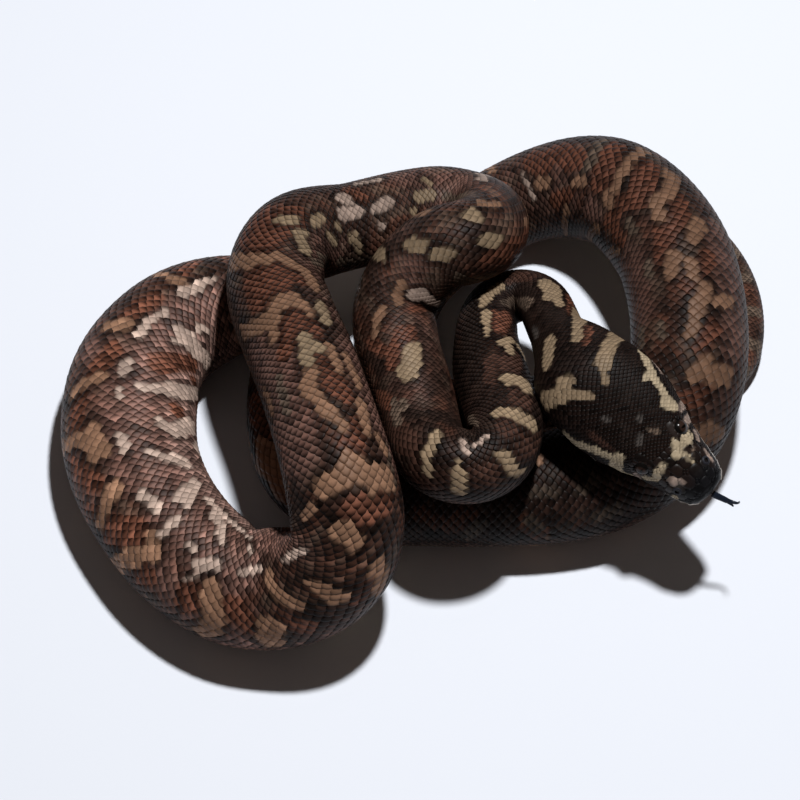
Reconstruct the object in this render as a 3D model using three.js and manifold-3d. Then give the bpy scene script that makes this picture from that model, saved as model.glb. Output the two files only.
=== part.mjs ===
// A coiled python resting on the floor: millimetres, +Z up, belly flats at z = 0.
// The long axis of the coil lies along X and the head points to +X and -Y.
import * as THREE from 'three';
import { mergeVertices } from 'three/addons/utils/BufferGeometryUtils.js';
import Module from 'manifold-3d';

const wasm = await Module();
wasm.setup();

// ---------------------------------------------------------------- sizes

// The spine is laid out in plan and height, then moved so that the coil is centred on the origin.
const COIL_CENTRE_X = 8.34;
const COIL_CENTRE_Y = 7.56;

// Body section.
const SIDES = 20;
const FLOOR_SQUASH = 0.9;
const FLOOR_SPREAD = 1.03;
const BEND_ROOM = 0.82;
const PART_GAP = 0.3;

// Ring spacing: one ring for each stretch of straight body or for each share of a bend.
const STRAIGHT_STEP = 9.5;
const BEND_STEP = 0.42;

// The head leans over to its right, in radians; the lean dies away along the neck.
const HEAD_LEAN = 0.46;
const LEAN_FROM = 26;
const LEAN_TO = 112;

// Head.
const HEAD_SIDES = 36;
const SNOUT_CROWDING = 1.6;
const JAW_HALF_WIDTH = 22.5;
const NECK_HALF_WIDTH = 12.2;
const NECK_FLARE_LENGTH = 35;
const MOUTH_BACK = 45;
const MOUTH_FRONT_DROP = 1.6;
const MOUTH_SAG = 2.6;
const MOUTH_DEPTH = 0.9;
const LIP_SWELL = 0.35;
const LIP_ANGLE = 0.3;
const LIP_STEP = 0.09;
const BROW_RISE = 0.9;
const BROW_ANGLE = 0.95;
const BROW_SPREAD = 0.28;
const BROW_REACH = 6;
const CHEEK_BACK = 24;
const CHEEK_REACH = 22;
const CHEEK_BOXINESS = 0.7;
const SNOUT_SLOPE = 0.24;
const SNOUT_SLOPE_BACK = 18;
const SNOUT_SLOPE_REACH = 14;
const EYE_BACK = 25.5;
const EYE_OUT = 9.5;
const EYE_UP = 6.2;
const EYE_RADIUS = 3.8;
const NOSTRIL_BACK = 10;
const NOSTRIL_OUT = 8;
const NOSTRIL_UP = 5;
const NOSTRIL_RADIUS = 1.5;

// Tongue.
const TONGUE_HALF_WIDTH = 1.15;
const TONGUE_HALF_THICKNESS = 0.5;
const TONGUE_STEM_THIN = 0.8;
const TONGUE_TINE_THIN = 0.4;

// Tongue: places ahead of the lips, to the left and up; the left tine curls up and the right one droops.
const TONGUE_STEM = [[0.7, 0, -1.6], [2.6, 0.6, -2.4], [4.6, 1.2, -3.3], [6.4, 1.7, -4.1]];
const TONGUE_TINES = [
  [[5.8, 1.8, -3.9], [8, 2.6, -4.6], [9.7, 3.5, -4], [10.3, 4.3, -1.8], [9.9, 4.7, 0.8]],
  [[5.8, 1.4, -3.9], [7.8, 1.7, -4.8], [9.4, 1.8, -6], [10.4, 1.6, -7.6]],
];

// Lengths of the body from the head to the tail tip.  Each holds the places of the spine in it.
const ROUTE = {
  head: [[120.5, -57, 55.5], [109.2, -46.8, 58.5], [97.9, -36.1, 61.5], [86, -25.5, 65]],
  neck: [[74.5, -14.5, 67.5], [68.9, -1, 64.3], [64, 10, 58], [61, 22, 53]],
  neck_arch: [[58, 32, 49], [51, 38, 45], [43, 37, 43], [37, 30, 43], [35, 18, 45]],
  throat: [[36, 2, 47.6], [39, -15, 52.6], [41, -30, 58]],
  fore_bend: [[37.5, -42, 60.5], [30, -47, 60.5], [20.5, -47, 60.5], [12.5, -41, 58.5], [9, -29, 54]],
  fore_rise: [[5, -9, 51], [-1, 11, 51], [-2, 27, 54], [5, 39, 61]],
  fore_turn: [[17, 46.5, 68], [28, 50, 67.5], [35, 57.5, 62.5], [35, 67.5, 56], [28, 74.5, 51], [17, 77.5, 50]],
  fore_cross: [[4, 75.5, 50], [-9, 70.5, 52], [-21, 65.5, 54]],
  shoulder_bend: [[-32, 62, 56], [-41, 57, 58], [-47.5, 48, 59], [-50, 34, 59]],
  mid_drape: [[-46, 18, 60], [-39, 0, 61], [-33, -18, 62], [-28, -35, 63]],
  mid_fall: [[-23, -53, 60], [-20.5, -66, 53], [-23, -76, 44], [-32, -82.5, 34], [-46, -84, 26]],
  mid_near: [[-64.7, -81, 22.5], [-83.1, -68.3, 22], [-98.8, -47.9, 22]],
  mid_left: [[-108.3, -26.5, 22], [-111, -5, 22], [-108, 15, 22]],
  mid_far: [[-99, 31, 21.5], [-86, 42, 20.5], [-71, 47.5, 19.5]],
  under_turn: [[-59, 47, 18.5], [-49, 41, 18], [-43, 31, 18], [-41, 19, 18]],
  under_run: [[-42, 3, 18], [-41, -13, 18], [-37, -25, 18], [-28, -34, 18], [-15, -38, 18.5]],
  hind_near: [[2, -38, 19], [20, -38, 20], [40, -38, 20.5], [60, -37, 20.5]],
  hind_right: [[80, -33, 21.5], [97, -25, 26], [110, -12, 34]],
  hind_climb: [[116, 3, 40.5], [118, 22, 43], [117, 42, 43], [113, 61, 42]],
  hind_far: [[103, 81, 39], [91, 94, 35], [76, 101, 29], [59, 102, 22]],
  hind_back: [[43, 97, 17], [28, 87, 15], [14, 74, 15], [3, 58, 14.5], [-2, 39, 14]],
  hind_in: [[-1, 22, 13.5], [6, 8, 13], [20, 1, 12.5], [40, 1, 11.7]],
  vent: [[60, 6, 10.8], [79, 12, 10], [98, 16, 9]],
  tail_base: [[117, 17, 8.6], [132, 19, 8.3], [142, 29, 8.1], [146, 45, 8]],
  tail_mid: [[145, 63, 7.6], [140, 79, 7], [131, 93, 6.4], [119, 103, 5.4]],
  tail_tip: [[106, 107, 4.3], [93, 109, 3], [82, 110, 1.8]],
};

// Half thickness of the body at stations along the spine, counted from the nape.
const GIRTH = [
  [-70, 12.4], [0, 12.2], [35, 11.2], [62, 10.8], [90, 12.6], [110, 15], [140, 15.3], [185, 15],
  [215, 16], [250, 17.1], [340, 17.2], [385, 17.8], [412, 20.2], [500, 21], [545, 22.6], [600, 24.2],
  [645, 24.9], [690, 26.9], [708, 26.9], [740, 24.6], [780, 21.2], [800, 20.4], [865, 20.8], [930, 23.2],
  [1090, 23.9], [1140, 23.6], [1190, 18.8], [1265, 15.6], [1335, 12.9], [1405, 10], [1475, 8.6],
  [1520, 6.8], [1560, 3.2], [1576, 1.5],
];

// Head outline: distance behind the snout, half width, rise of the crown and drop of the chin.
const HEAD_OUTLINE = [
  [0, 3.2, 2.2, 2.2], [1.2, 6.7, 4.4, 4], [3.5, 9, 6, 5.2], [8, 10.9, 7.6, 6.2], [15, 12.5, 9, 7.2],
  [23, 14.5, 10.2, 8.2], [33, 18.4, 11, 9.6], [42, 21.2, 11.6, 10.8], [52, 22.5, 11.8, 11.4],
  [63, 21.4, 11.6, 11.2], [76, 17, 11.4, 11.2],
];

// ---------------------------------------------------------------- curves

/** Blend between the stations of a table of [place, value, ...] rows; column picks the value. */
function tableValue(table, place, column = 1) {
  let row = 0;
  while (row < table.length - 2 && place > table[row + 1][0]) {
    row += 1;
  }
  const [from, to] = [table[row], table[row + 1]];
  const share = THREE.MathUtils.clamp((place - from[0]) / (to[0] - from[0]), 0, 1);
  const eased = 0.5 * share + 0.5 * share * share * (3 - 2 * share);
  return from[column] + (to[column] - from[column]) * eased;
}

/** The spine as evenly eased points, with the index at which each length of the body begins. */
function laySpine() {
  const perSpan = 8;
  const smoothing = 6;
  const places = [];
  const starts = {};
  for (const [name, stations] of Object.entries(ROUTE)) {
    starts[name] = places.length * perSpan;
    for (const [x, y, z] of stations) {
      places.push(new THREE.Vector3(x - COIL_CENTRE_X, y - COIL_CENTRE_Y, z));
    }
  }
  const curve = new THREE.CatmullRomCurve3(places, false, 'centripetal');
  let points = curve.getPoints((places.length - 1) * perSpan);
  for (let pass = 0; pass < smoothing; pass += 1) {
    points = points.map((point, index) => {
      if (index === 0 || index === points.length - 1) {
        return point;
      }
      const middle = points[index - 1].clone().add(points[index + 1]).multiplyScalar(0.25);
      return middle.addScaledVector(point, 0.5);
    });
  }
  const along = [0];
  for (let index = 1; index < points.length; index += 1) {
    along.push(along[index - 1] + points[index].distanceTo(points[index - 1]));
  }
  return { points, along, starts };
}

const spine = laySpine();
const SPINE_END = spine.along[spine.along.length - 1];
const NAPE = spine.along[spine.starts.neck];

/** The point of the spine at a distance from the snout. */
function spinePoint(distance) {
  const { points, along } = spine;
  let index = 0;
  while (index < along.length - 2 && along[index + 1] < distance) {
    index += 1;
  }
  const share = (distance - along[index]) / (along[index + 1] - along[index]);
  return points[index].clone().lerp(points[index + 1], share);
}

/** Way of the spine at a distance from the snout, taken over a short reach either side. */
function spineWay(distance) {
  const reach = 2.5;
  const before = spinePoint(Math.max(distance - reach, 0));
  const after = spinePoint(Math.min(distance + reach, SPINE_END));
  return after.sub(before).normalize();
}

/** Place, way, side, top and bend of the body at a distance from the snout. */
function spineFrame(distance) {
  const reach = 4;
  const way = spineWay(distance);
  const level = way.clone().cross(new THREE.Vector3(0, 0, 1)).normalize();
  const upright = level.clone().cross(way);
  const lean = HEAD_LEAN * (1 - THREE.MathUtils.smoothstep(distance, LEAN_FROM, LEAN_TO));
  const side = level.clone().multiplyScalar(Math.cos(lean)).addScaledVector(upright, Math.sin(lean));
  const top = upright.multiplyScalar(Math.cos(lean)).addScaledVector(level, -Math.sin(lean));
  const low = Math.max(distance - reach, 0);
  const high = Math.min(distance + reach, SPINE_END);
  const bend = spineWay(high).sub(spineWay(low)).multiplyScalar(1 / (high - low));
  return { place: spinePoint(distance), way, side, top, bend };
}

// ---------------------------------------------------------------- body lengths

/** Half width and half height of the body at a distance from the snout. */
function bodySize(distance) {
  const fromNape = distance - NAPE;
  const girth = tableValue(GIRTH, fromNape);
  const height = spinePoint(distance).z;
  const lifted = THREE.MathUtils.clamp((height - girth * 0.95) / (girth * 0.5), 0, 1);
  const flare = 1 - THREE.MathUtils.smoothstep(fromNape, -2, NECK_FLARE_LENGTH);
  return {
    wide: girth * (FLOOR_SPREAD + (1 - FLOOR_SPREAD) * lifted) + flare * (JAW_HALF_WIDTH - NECK_HALF_WIDTH),
    tall: girth * (FLOOR_SQUASH + (1 - FLOOR_SQUASH) * lifted),
  };
}

/** One ring of skin points; the inner side of a bend is crowded and the belly lies on the floor. */
function bodyRing(distance, slide = 0) {
  const frame = spineFrame(distance);
  const { wide, tall } = bodySize(distance);
  const bendRate = frame.bend.length();
  const inward = frame.bend.clone().normalize();
  const ring = [];
  for (let index = 0; index < SIDES; index += 1) {
    const angle = (2 * Math.PI * (index + 0.5)) / SIDES;
    const offset = frame.side.clone().multiplyScalar(wide * Math.cos(angle));
    offset.addScaledVector(frame.top, tall * Math.sin(angle));
    const reach = offset.dot(inward);
    if (reach > 0) {
      const crowding = (1 + (reach * bendRate / BEND_ROOM) ** 4) ** 0.25;
      offset.addScaledVector(inward, reach / crowding - reach);
    }
    const point = frame.place.clone().add(offset).addScaledVector(frame.way, slide);
    point.z = Math.max(point.z, 0);
    ring.push(point);
  }
  return ring;
}

/** Distances of the rings of one length: closer together where the body bends. */
function ringPlaces(from, to) {
  const count = Math.max(Math.ceil(to - from), 2);
  const cost = [0];
  for (let index = 1; index <= count; index += 1) {
    const distance = from + ((to - from) * (index - 0.5)) / count;
    const rate = 1 / STRAIGHT_STEP + spineFrame(distance).bend.length() / BEND_STEP;
    cost.push(cost[index - 1] + (rate * (to - from)) / count);
  }
  const rings = Math.max(Math.round(cost[count]), 2);
  const places = [from];
  for (let ring = 1; ring < rings; ring += 1) {
    const wanted = (cost[count] * ring) / rings;
    const index = cost.findIndex((value) => value >= wanted);
    const share = (wanted - cost[index - 1]) / (cost[index] - cost[index - 1]);
    places.push(from + ((to - from) * (index - 1 + share)) / count);
  }
  places.push(to);
  return places;
}

/** A closed skin through rings of equal count, with a flat or pointed cap at each end. */
function skinThrough(rings) {
  const sides = rings[0].length;
  const positions = [];
  const faces = [];
  for (const ring of rings) {
    for (const point of ring) {
      positions.push(point.x, point.y, point.z);
    }
  }
  for (let row = 0; row < rings.length - 1; row += 1) {
    for (let index = 0; index < sides; index += 1) {
      const next = (index + 1) % sides;
      const a = row * sides + index;
      const b = row * sides + next;
      const falling = rings[row][next].distanceTo(rings[row + 1][index]);
      const rising = rings[row][index].distanceTo(rings[row + 1][next]);
      if (falling <= rising) {
        faces.push(a, a + sides, b, b, a + sides, b + sides);
      } else {
        faces.push(a, a + sides, b + sides, a, b + sides, b);
      }
    }
  }
  const ends = [[0, 1], [rings.length - 1, -1]];
  for (const [row, turn] of ends) {
    const centre = new THREE.Vector3();
    rings[row].forEach((point) => centre.addScaledVector(point, 1 / sides));
    const hub = positions.length / 3;
    positions.push(centre.x, centre.y, centre.z);
    for (let index = 0; index < sides; index += 1) {
      const a = row * sides + index;
      const b = row * sides + ((index + 1) % sides);
      faces.push(hub, ...(turn > 0 ? [a, b] : [b, a]));
    }
  }
  const geometry = new THREE.BufferGeometry();
  geometry.setAttribute('position', new THREE.Float32BufferAttribute(positions, 3));
  geometry.setIndex(faces);
  return geometry;
}

/** One length of body between two distances, parted from its neighbours by the gap. */
function bodyLength(from, to, last) {
  const places = ringPlaces(from, to);
  const rings = places.map((distance, index) => {
    if (index === 0) {
      return bodyRing(distance, PART_GAP / 2);
    }
    if (index === places.length - 1 && !last) {
      return bodyRing(distance, -PART_GAP / 2);
    }
    return bodyRing(distance);
  });
  return skinThrough(rings);
}

// ---------------------------------------------------------------- joining and cutting

/** A manifold solid from a geometry. */
function solidOf(geometry) {
  const bare = geometry.clone();
  bare.deleteAttribute('normal');
  bare.deleteAttribute('uv');
  const merged = mergeVertices(bare, 1e-4);
  const mesh = new wasm.Mesh({
    numProp: 3,
    vertProperties: Float32Array.from(merged.attributes.position.array),
    triVerts: Uint32Array.from(merged.index.array),
  });
  return new wasm.Manifold(mesh);
}

/** A geometry from a manifold solid. */
function geometryOf(solid) {
  const mesh = solid.getMesh();
  const geometry = new THREE.BufferGeometry();
  geometry.setAttribute('position', new THREE.Float32BufferAttribute(mesh.vertProperties, mesh.numProp));
  geometry.setIndex(new THREE.Uint32BufferAttribute(mesh.triVerts, 1));
  return geometry;
}

/** A ball at a place. */
function ballAt(place, radius, around, down) {
  const ball = new THREE.SphereGeometry(radius, around, down);
  ball.translate(place.x, place.y, place.z);
  return ball;
}

// ---------------------------------------------------------------- head

/** A point of the head given behind the snout, out to the left and up from the head's middle. */
function headPoint(behind, left, up) {
  const frame = spineFrame(behind);
  return frame.place.addScaledVector(frame.side, left).addScaledVector(frame.top, up);
}

/** Height of the line of the mouth at a distance behind the snout. */
function mouthHeight(behind) {
  const share = Math.min(behind, MOUTH_BACK) / MOUTH_BACK;
  return -MOUTH_FRONT_DROP - MOUTH_SAG * Math.sin(0.8 * Math.PI * share);
}

/** One ring of the head: a rounded box with a flat crown, lips beside a groove, and a brow. */
function headRing(behind, slide = 0) {
  const frame = spineFrame(behind);
  const wide = tableValue(HEAD_OUTLINE, behind, 1);
  const crown = tableValue(HEAD_OUTLINE, behind, 2);
  const chin = tableValue(HEAD_OUTLINE, behind, 3);
  const boxy = 2 + CHEEK_BOXINESS * Math.exp(-(((behind - CHEEK_BACK) / CHEEK_REACH) ** 2));
  const slope = SNOUT_SLOPE * Math.exp(-(((behind - SNOUT_SLOPE_BACK) / SNOUT_SLOPE_REACH) ** 2));
  const mouth = mouthHeight(behind);
  const inMouth = 1 - THREE.MathUtils.smoothstep(behind, MOUTH_BACK - 4, MOUTH_BACK);
  const shut = Math.asin(THREE.MathUtils.clamp(mouth / chin, -0.7, 0));
  const quarter = HEAD_SIDES / 4;
  const angles = [];
  for (let index = 0; index < quarter; index += 1) {
    angles.push(-Math.PI / 2 + ((Math.PI / 2 + shut - LIP_STEP) * index) / (quarter - 1));
  }
  angles.push(shut);
  for (let index = 0; index < quarter; index += 1) {
    angles.push(shut + LIP_STEP + ((Math.PI / 2 - shut - LIP_STEP) * index) / (quarter - 1));
  }
  const half = angles.map((angle) => {
    const up = Math.sign(Math.sin(angle)) * Math.abs(Math.sin(angle)) ** (2 / boxy);
    const out = Math.abs(Math.cos(angle)) ** (2 / boxy);
    const tall = up > 0 ? crown : chin;
    const browPlace = ((behind - EYE_BACK) / BROW_REACH) ** 2 + ((angle - BROW_ANGLE) / BROW_SPREAD) ** 2;
    const lipPlace = ((angle - shut) / LIP_ANGLE) ** 2;
    const groove = angle === shut ? MOUTH_DEPTH * inMouth : 0;
    const swell = BROW_RISE * Math.exp(-browPlace) + LIP_SWELL * inMouth * Math.exp(-lipPlace) - groove;
    const scale = 1 + swell / Math.max(wide, 4);
    return [wide * out * (1 - slope * Math.max(up, 0)) * scale, tall * up * scale];
  });
  const mirrored = half.slice(1, -1).reverse().map(([out, up]) => [-out, up]);
  return [...half, ...mirrored].map(([out, up]) => {
    const point = frame.place.clone().addScaledVector(frame.side, out);
    return point.addScaledVector(frame.top, up).addScaledVector(frame.way, slide);
  });
}

/** The head, with sockets for the eyes and a pit for each nostril. */
function makeHead() {
  const count = 22;
  const lastRing = NAPE - 4;
  const rings = [];
  for (let index = 0; index < count; index += 1) {
    rings.push(headRing(lastRing * (index / (count - 1)) ** SNOUT_CROWDING));
  }
  rings.push(headRing(NAPE, -PART_GAP / 2));
  let head = solidOf(skinThrough(rings));
  for (const side of [1, -1]) {
    const socket = headPoint(EYE_BACK, side * EYE_OUT, EYE_UP);
    head = head.subtract(solidOf(ballAt(socket, EYE_RADIUS + PART_GAP, 20, 12)));
    const nostril = headPoint(NOSTRIL_BACK, side * NOSTRIL_OUT, NOSTRIL_UP);
    head = head.subtract(solidOf(ballAt(nostril, NOSTRIL_RADIUS, 10, 6)));
  }
  return geometryOf(head);
}

/** A flat ribbon of oval section through places, thinning towards its end. */
function ribbon(places, across, thinEnd) {
  const sides = 8;
  const rings = places.map((place, row) => {
    const before = places[Math.max(row - 1, 0)];
    const after = places[Math.min(row + 1, places.length - 1)];
    const way = after.clone().sub(before).normalize();
    const side = across.clone().addScaledVector(way, -across.dot(way)).normalize();
    const top = side.clone().cross(way);
    const thin = 1 + (thinEnd - 1) * (row / (places.length - 1));
    const ring = [];
    for (let index = 0; index < sides; index += 1) {
      const angle = (2 * Math.PI * index) / sides;
      const point = place.clone().addScaledVector(side, TONGUE_HALF_WIDTH * thin * Math.cos(angle));
      ring.push(point.addScaledVector(top, TONGUE_HALF_THICKNESS * Math.sqrt(thin) * Math.sin(angle)));
    }
    return ring;
  });
  return skinThrough(rings);
}

/** The forked tongue, held out just clear of the notch at the front of the lips. */
function makeTongue() {
  const frame = spineFrame(0);
  const at = ([ahead, left, up]) => {
    const point = frame.place.clone().addScaledVector(frame.way, -ahead);
    return point.addScaledVector(frame.side, left).addScaledVector(frame.top, up);
  };
  let tongue = solidOf(ribbon(TONGUE_STEM.map(at), frame.side, TONGUE_STEM_THIN));
  for (const tine of TONGUE_TINES) {
    tongue = tongue.add(solidOf(ribbon(tine.map(at), frame.side, TONGUE_TINE_THIN)));
  }
  return geometryOf(tongue);
}

// ---------------------------------------------------------------- colours and assembly

const FINISH = {
  neck: { color: '#33261d', roughness: 0.5, metalness: 0 },
  fore: { color: '#463429', roughness: 0.52, metalness: 0 },
  body: { color: '#54402f', roughness: 0.55, metalness: 0 },
  hind: { color: '#3d2c22', roughness: 0.55, metalness: 0 },
  tail: { color: '#4a3829', roughness: 0.55, metalness: 0 },
  head: { color: '#241c17', roughness: 0.4, metalness: 0 },
  eye: { color: '#1a140d', roughness: 0.08, metalness: 0 },
  tongue: { color: '#1c2230', roughness: 0.45, metalness: 0 },
};

/** The finish of a length of body, by its place along the snake. */
function finishOf(name) {
  if (name.startsWith('neck') || name === 'throat') {
    return FINISH.neck;
  }
  if (name.startsWith('fore')) {
    return FINISH.fore;
  }
  if (name.startsWith('hind') || name.startsWith('under')) {
    return FINISH.hind;
  }
  if (name.startsWith('tail') || name === 'vent') {
    return FINISH.tail;
  }
  return FINISH.body;
}

const python = new THREE.Group();
python.name = 'coiled_python';

/** Add a named piece with a material of its own. */
function addPiece(name, geometry, finish) {
  geometry.computeVertexNormals();
  const mesh = new THREE.Mesh(geometry, new THREE.MeshStandardMaterial({ ...finish }));
  mesh.name = name;
  python.add(mesh);
}

addPiece('head', makeHead(), FINISH.head);
addPiece('eye_left', ballAt(headPoint(EYE_BACK, EYE_OUT, EYE_UP), EYE_RADIUS, 20, 12), FINISH.eye);
addPiece('eye_right', ballAt(headPoint(EYE_BACK, -EYE_OUT, EYE_UP), EYE_RADIUS, 20, 12), FINISH.eye);
addPiece('tongue', makeTongue(), FINISH.tongue);

const lengths = Object.keys(ROUTE).filter((name) => name !== 'head');
lengths.forEach((name, index) => {
  const last = index === lengths.length - 1;
  const from = spine.along[spine.starts[name]];
  const to = last ? SPINE_END : spine.along[spine.starts[lengths[index + 1]]];
  addPiece(name, bodyLength(from, to, last), finishOf(name));
});

export default python;
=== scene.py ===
"""A carpet python resting in a loose coil: one skin, a coat of solid scales, head plates, eyes and tongue.

The animal is worked out in millimetres and its meshes are made in metres; floor, lamp and camera are given in
metres.  A place along the body is a distance behind the snout, or behind the nape where a table says so.  A
place round the body is a share of the girth that starts and ends at the middle of the belly, with the left
flank at a quarter, the middle of the back at a half and the right flank at three quarters.
"""

import logging
import math
from dataclasses import dataclass, field, replace
from enum import Enum

import bpy
import numpy as np
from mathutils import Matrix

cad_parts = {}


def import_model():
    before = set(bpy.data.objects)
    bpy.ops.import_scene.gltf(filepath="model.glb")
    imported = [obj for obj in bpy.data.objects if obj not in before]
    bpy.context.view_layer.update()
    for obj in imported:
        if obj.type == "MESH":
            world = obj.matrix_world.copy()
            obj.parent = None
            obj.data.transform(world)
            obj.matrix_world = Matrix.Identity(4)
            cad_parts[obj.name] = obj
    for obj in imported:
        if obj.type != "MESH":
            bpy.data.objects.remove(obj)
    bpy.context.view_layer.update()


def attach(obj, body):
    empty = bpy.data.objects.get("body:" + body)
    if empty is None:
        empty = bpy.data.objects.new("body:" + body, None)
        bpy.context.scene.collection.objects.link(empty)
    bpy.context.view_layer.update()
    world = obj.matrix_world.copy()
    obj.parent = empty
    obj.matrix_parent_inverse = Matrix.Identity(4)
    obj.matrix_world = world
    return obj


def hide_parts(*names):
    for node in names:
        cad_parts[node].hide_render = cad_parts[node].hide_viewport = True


LOG = logging.getLogger("python_coil")
MM = 0.001
PIGMENT_LAYER = "pigment"

# ------------------------------------------------------------------ the route and the tables of the body

# The route is moved by this much so that the coil's middle is over the origin.
COIL_CENTRE_MM = (8.34, 7.56)

# Middle line of each length of the animal: along the coil, across it and up from the floor.
ROUTE_MM: dict[str, list[tuple[float, float, float]]] = {
    "head": [(120.5, -57, 55.5), (109.2, -46.8, 58.5), (97.9, -36.1, 61.5), (86, -25.5, 65)],
    "neck": [(74.5, -14.5, 67.5), (68.9, -1, 64.3), (64, 10, 58), (61, 22, 53)],
    "neck_arch": [(58, 32, 49), (51, 38, 45), (43, 37, 43), (37, 30, 43), (35, 18, 45)],
    "throat": [(36, 2, 47.6), (39, -15, 52.6), (41, -30, 58)],
    "fore_bend": [(37.5, -42, 60.5), (30, -47, 60.5), (20.5, -47, 60.5), (12.5, -41, 58.5), (9, -29, 54)],
    "fore_rise": [(5, -9, 51), (-1, 11, 51), (-2, 27, 54), (5, 39, 61)],
    "fore_turn": [
        (17, 46.5, 68), (28, 50, 67.5), (35, 57.5, 62.5), (35, 67.5, 56), (28, 74.5, 51), (17, 77.5, 50),
    ],
    "fore_cross": [(4, 75.5, 50), (-9, 70.5, 52), (-21, 65.5, 54)],
    "shoulder_bend": [(-32, 62, 56), (-41, 57, 58), (-47.5, 48, 59), (-50, 34, 59)],
    "mid_drape": [(-46, 18, 60), (-39, 0, 61), (-33, -18, 62), (-28, -35, 63)],
    "mid_fall": [(-23, -53, 60), (-20.5, -66, 53), (-23, -76, 44), (-32, -82.5, 34), (-46, -84, 26)],
    "mid_near": [(-64.7, -81, 22.5), (-83.1, -68.3, 22), (-98.8, -47.9, 22)],
    "mid_left": [(-108.3, -26.5, 22), (-111, -5, 22), (-108, 15, 22)],
    "mid_far": [(-99, 31, 21.5), (-86, 42, 20.5), (-71, 47.5, 19.5)],
    "under_turn": [(-59, 47, 18.5), (-49, 41, 18), (-43, 31, 18), (-41, 19, 18)],
    "under_run": [(-42, 3, 18), (-41, -13, 18), (-37, -25, 18), (-28, -34, 18), (-15, -38, 18.5)],
    "hind_near": [(2, -38, 19), (20, -38, 20), (40, -38, 20.5), (60, -37, 20.5)],
    "hind_right": [(80, -33, 21.5), (97, -25, 26), (110, -12, 34)],
    "hind_climb": [(116, 3, 40.5), (118, 22, 43), (117, 42, 43), (113, 61, 42)],
    "hind_far": [(103, 81, 39), (91, 94, 35), (76, 101, 29), (59, 102, 22)],
    "hind_back": [(43, 97, 17), (28, 87, 15), (14, 74, 15), (3, 58, 14.5), (-2, 39, 14)],
    "hind_in": [(-1, 22, 13.5), (6, 8, 13), (20, 1, 12.5), (40, 1, 11.7)],
    "vent": [(60, 6, 10.8), (79, 12, 10), (98, 16, 9)],
    "tail_base": [(117, 17, 8.6), (132, 19, 8.3), (142, 29, 8.1), (146, 45, 8)],
    "tail_mid": [(145, 63, 7.6), (140, 79, 7), (131, 93, 6.4), (119, 103, 5.4)],
    "tail_tip": [(106, 107, 4.3), (93, 109, 3), (82, 110, 1.8)],
}

FLESH_NODES: tuple[str, ...] = tuple(ROUTE_MM)

# Distance behind the nape, and half the thickness of the body.
GIRTH_MM = np.array([
    (-70, 12.4), (0, 12.2), (35, 11.2), (62, 10.8), (90, 12.6), (110, 15), (140, 15.3), (185, 15),
    (215, 16), (250, 17.1), (340, 17.2), (385, 17.8), (412, 20.2), (500, 21), (545, 22.6), (600, 24.2),
    (645, 24.9), (690, 26.9), (708, 26.9), (740, 24.6), (780, 21.2), (800, 20.4), (865, 20.8), (930, 23.2),
    (1090, 23.9), (1140, 23.6), (1190, 18.8), (1265, 15.6), (1335, 12.9), (1405, 10), (1475, 8.6),
    (1520, 6.8), (1560, 3.2), (1576, 1.5),
])

# Distance behind the nape, and the length of body that one row of scales takes.
PITCH_MM = np.array([
    (-70, 1.6), (-5, 1.8), (40, 2.1), (110, 2.5), (250, 3.0), (380, 2.8), (440, 2.9), (500, 3.4),
    (600, 3.6), (760, 3.6), (1000, 3.7), (1120, 3.6), (1200, 3.3), (1300, 3.0), (1400, 2.6), (1500, 2.1),
    (1576, 1.3),
])

# Distance behind the nape, and how light the ground colour and the blotches are there. This is partly the
# animal's own tone and partly painted shade: from 860 to 1005 behind the nape both fall to 0.28 to 0.5, a
# painted shade on the strand that lies under the head.
LIGHTNESS_AND_PAINTED_SHADE_MM = np.array([
    (-70, 0.85, 1), (60, 0.85, 0.95), (110, 0.6, 1.25), (160, 0.65, 1.25), (220, 0.9, 1.05), (300, 1.1, 0.8),
    (350, 1.1, 0.75), (372, 1.1, 0.85), (460, 0.95, 0.82), (520, 0.75, 1.05), (590, 1, 1.1),
    (650, 1.35, 1.3), (765, 1.3, 1.2), (860, 0.5, 0.5), (900, 0.28, 0.34), (1005, 0.32, 0.4),
    (1050, 0.75, 0.72), (1186, 0.7, 0.7), (1300, 0.9, 0.9), (1430, 1.1, 1), (1580, 1, 1),
])

# Distance behind the snout, half the width of the head, height of its crown and depth of its chin.
HEAD_OUTLINE_MM = np.array([
    (0, 0.4, 0.3, 0.3), (0.3, 3.4, 2.2, 2.2), (1.2, 6.7, 4.4, 4), (3.5, 9, 6, 5.2), (8, 10.9, 7.6, 6.2),
    (15, 12.5, 9, 7.2), (23, 14.5, 10.2, 8.2), (33, 18.4, 11, 9.6), (42, 21.2, 11.6, 10.8),
    (52, 22.5, 11.8, 11.4), (63, 21.4, 11.6, 11.2), (76, 17, 11.4, 11.2),
])


def smooth(low: float, high: float, value: np.ndarray) -> np.ndarray:
    """Smooth step: 0 at low, 1 at high and 3t^2 - 2t^3 between.

    Args:
        low: Where the step begins.
        high: Where it ends.
        value: Places to read it at.

    Returns:
        The step at each place.
    """
    share = np.clip((value - low) / (high - low), 0.0, 1.0)
    return share * share * (3.0 - 2.0 * share)


def eased(table: np.ndarray, place: np.ndarray, column: int = 1) -> np.ndarray:
    """Value of a table between its stations, half linear and half eased.

    Args:
        table: Rows of place and values.
        place: Places to read at.
        column: Which value to read.

    Returns:
        The value at each place.
    """
    row = np.clip(np.searchsorted(table[:, 0], place, side="left") - 1, 0, len(table) - 2)
    low, high = table[row], table[row + 1]
    share = np.clip((place - low[..., 0]) / (high[..., 0] - low[..., 0]), 0.0, 1.0)
    share = 0.5 * share + 0.5 * share * share * (3.0 - 2.0 * share)
    return low[..., column] * (1.0 - share) + high[..., column] * share


def unit(vectors: np.ndarray) -> np.ndarray:
    """Vectors of length one in the same directions."""
    return vectors / np.maximum(np.linalg.norm(vectors, axis=-1, keepdims=True), 1e-12)


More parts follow.
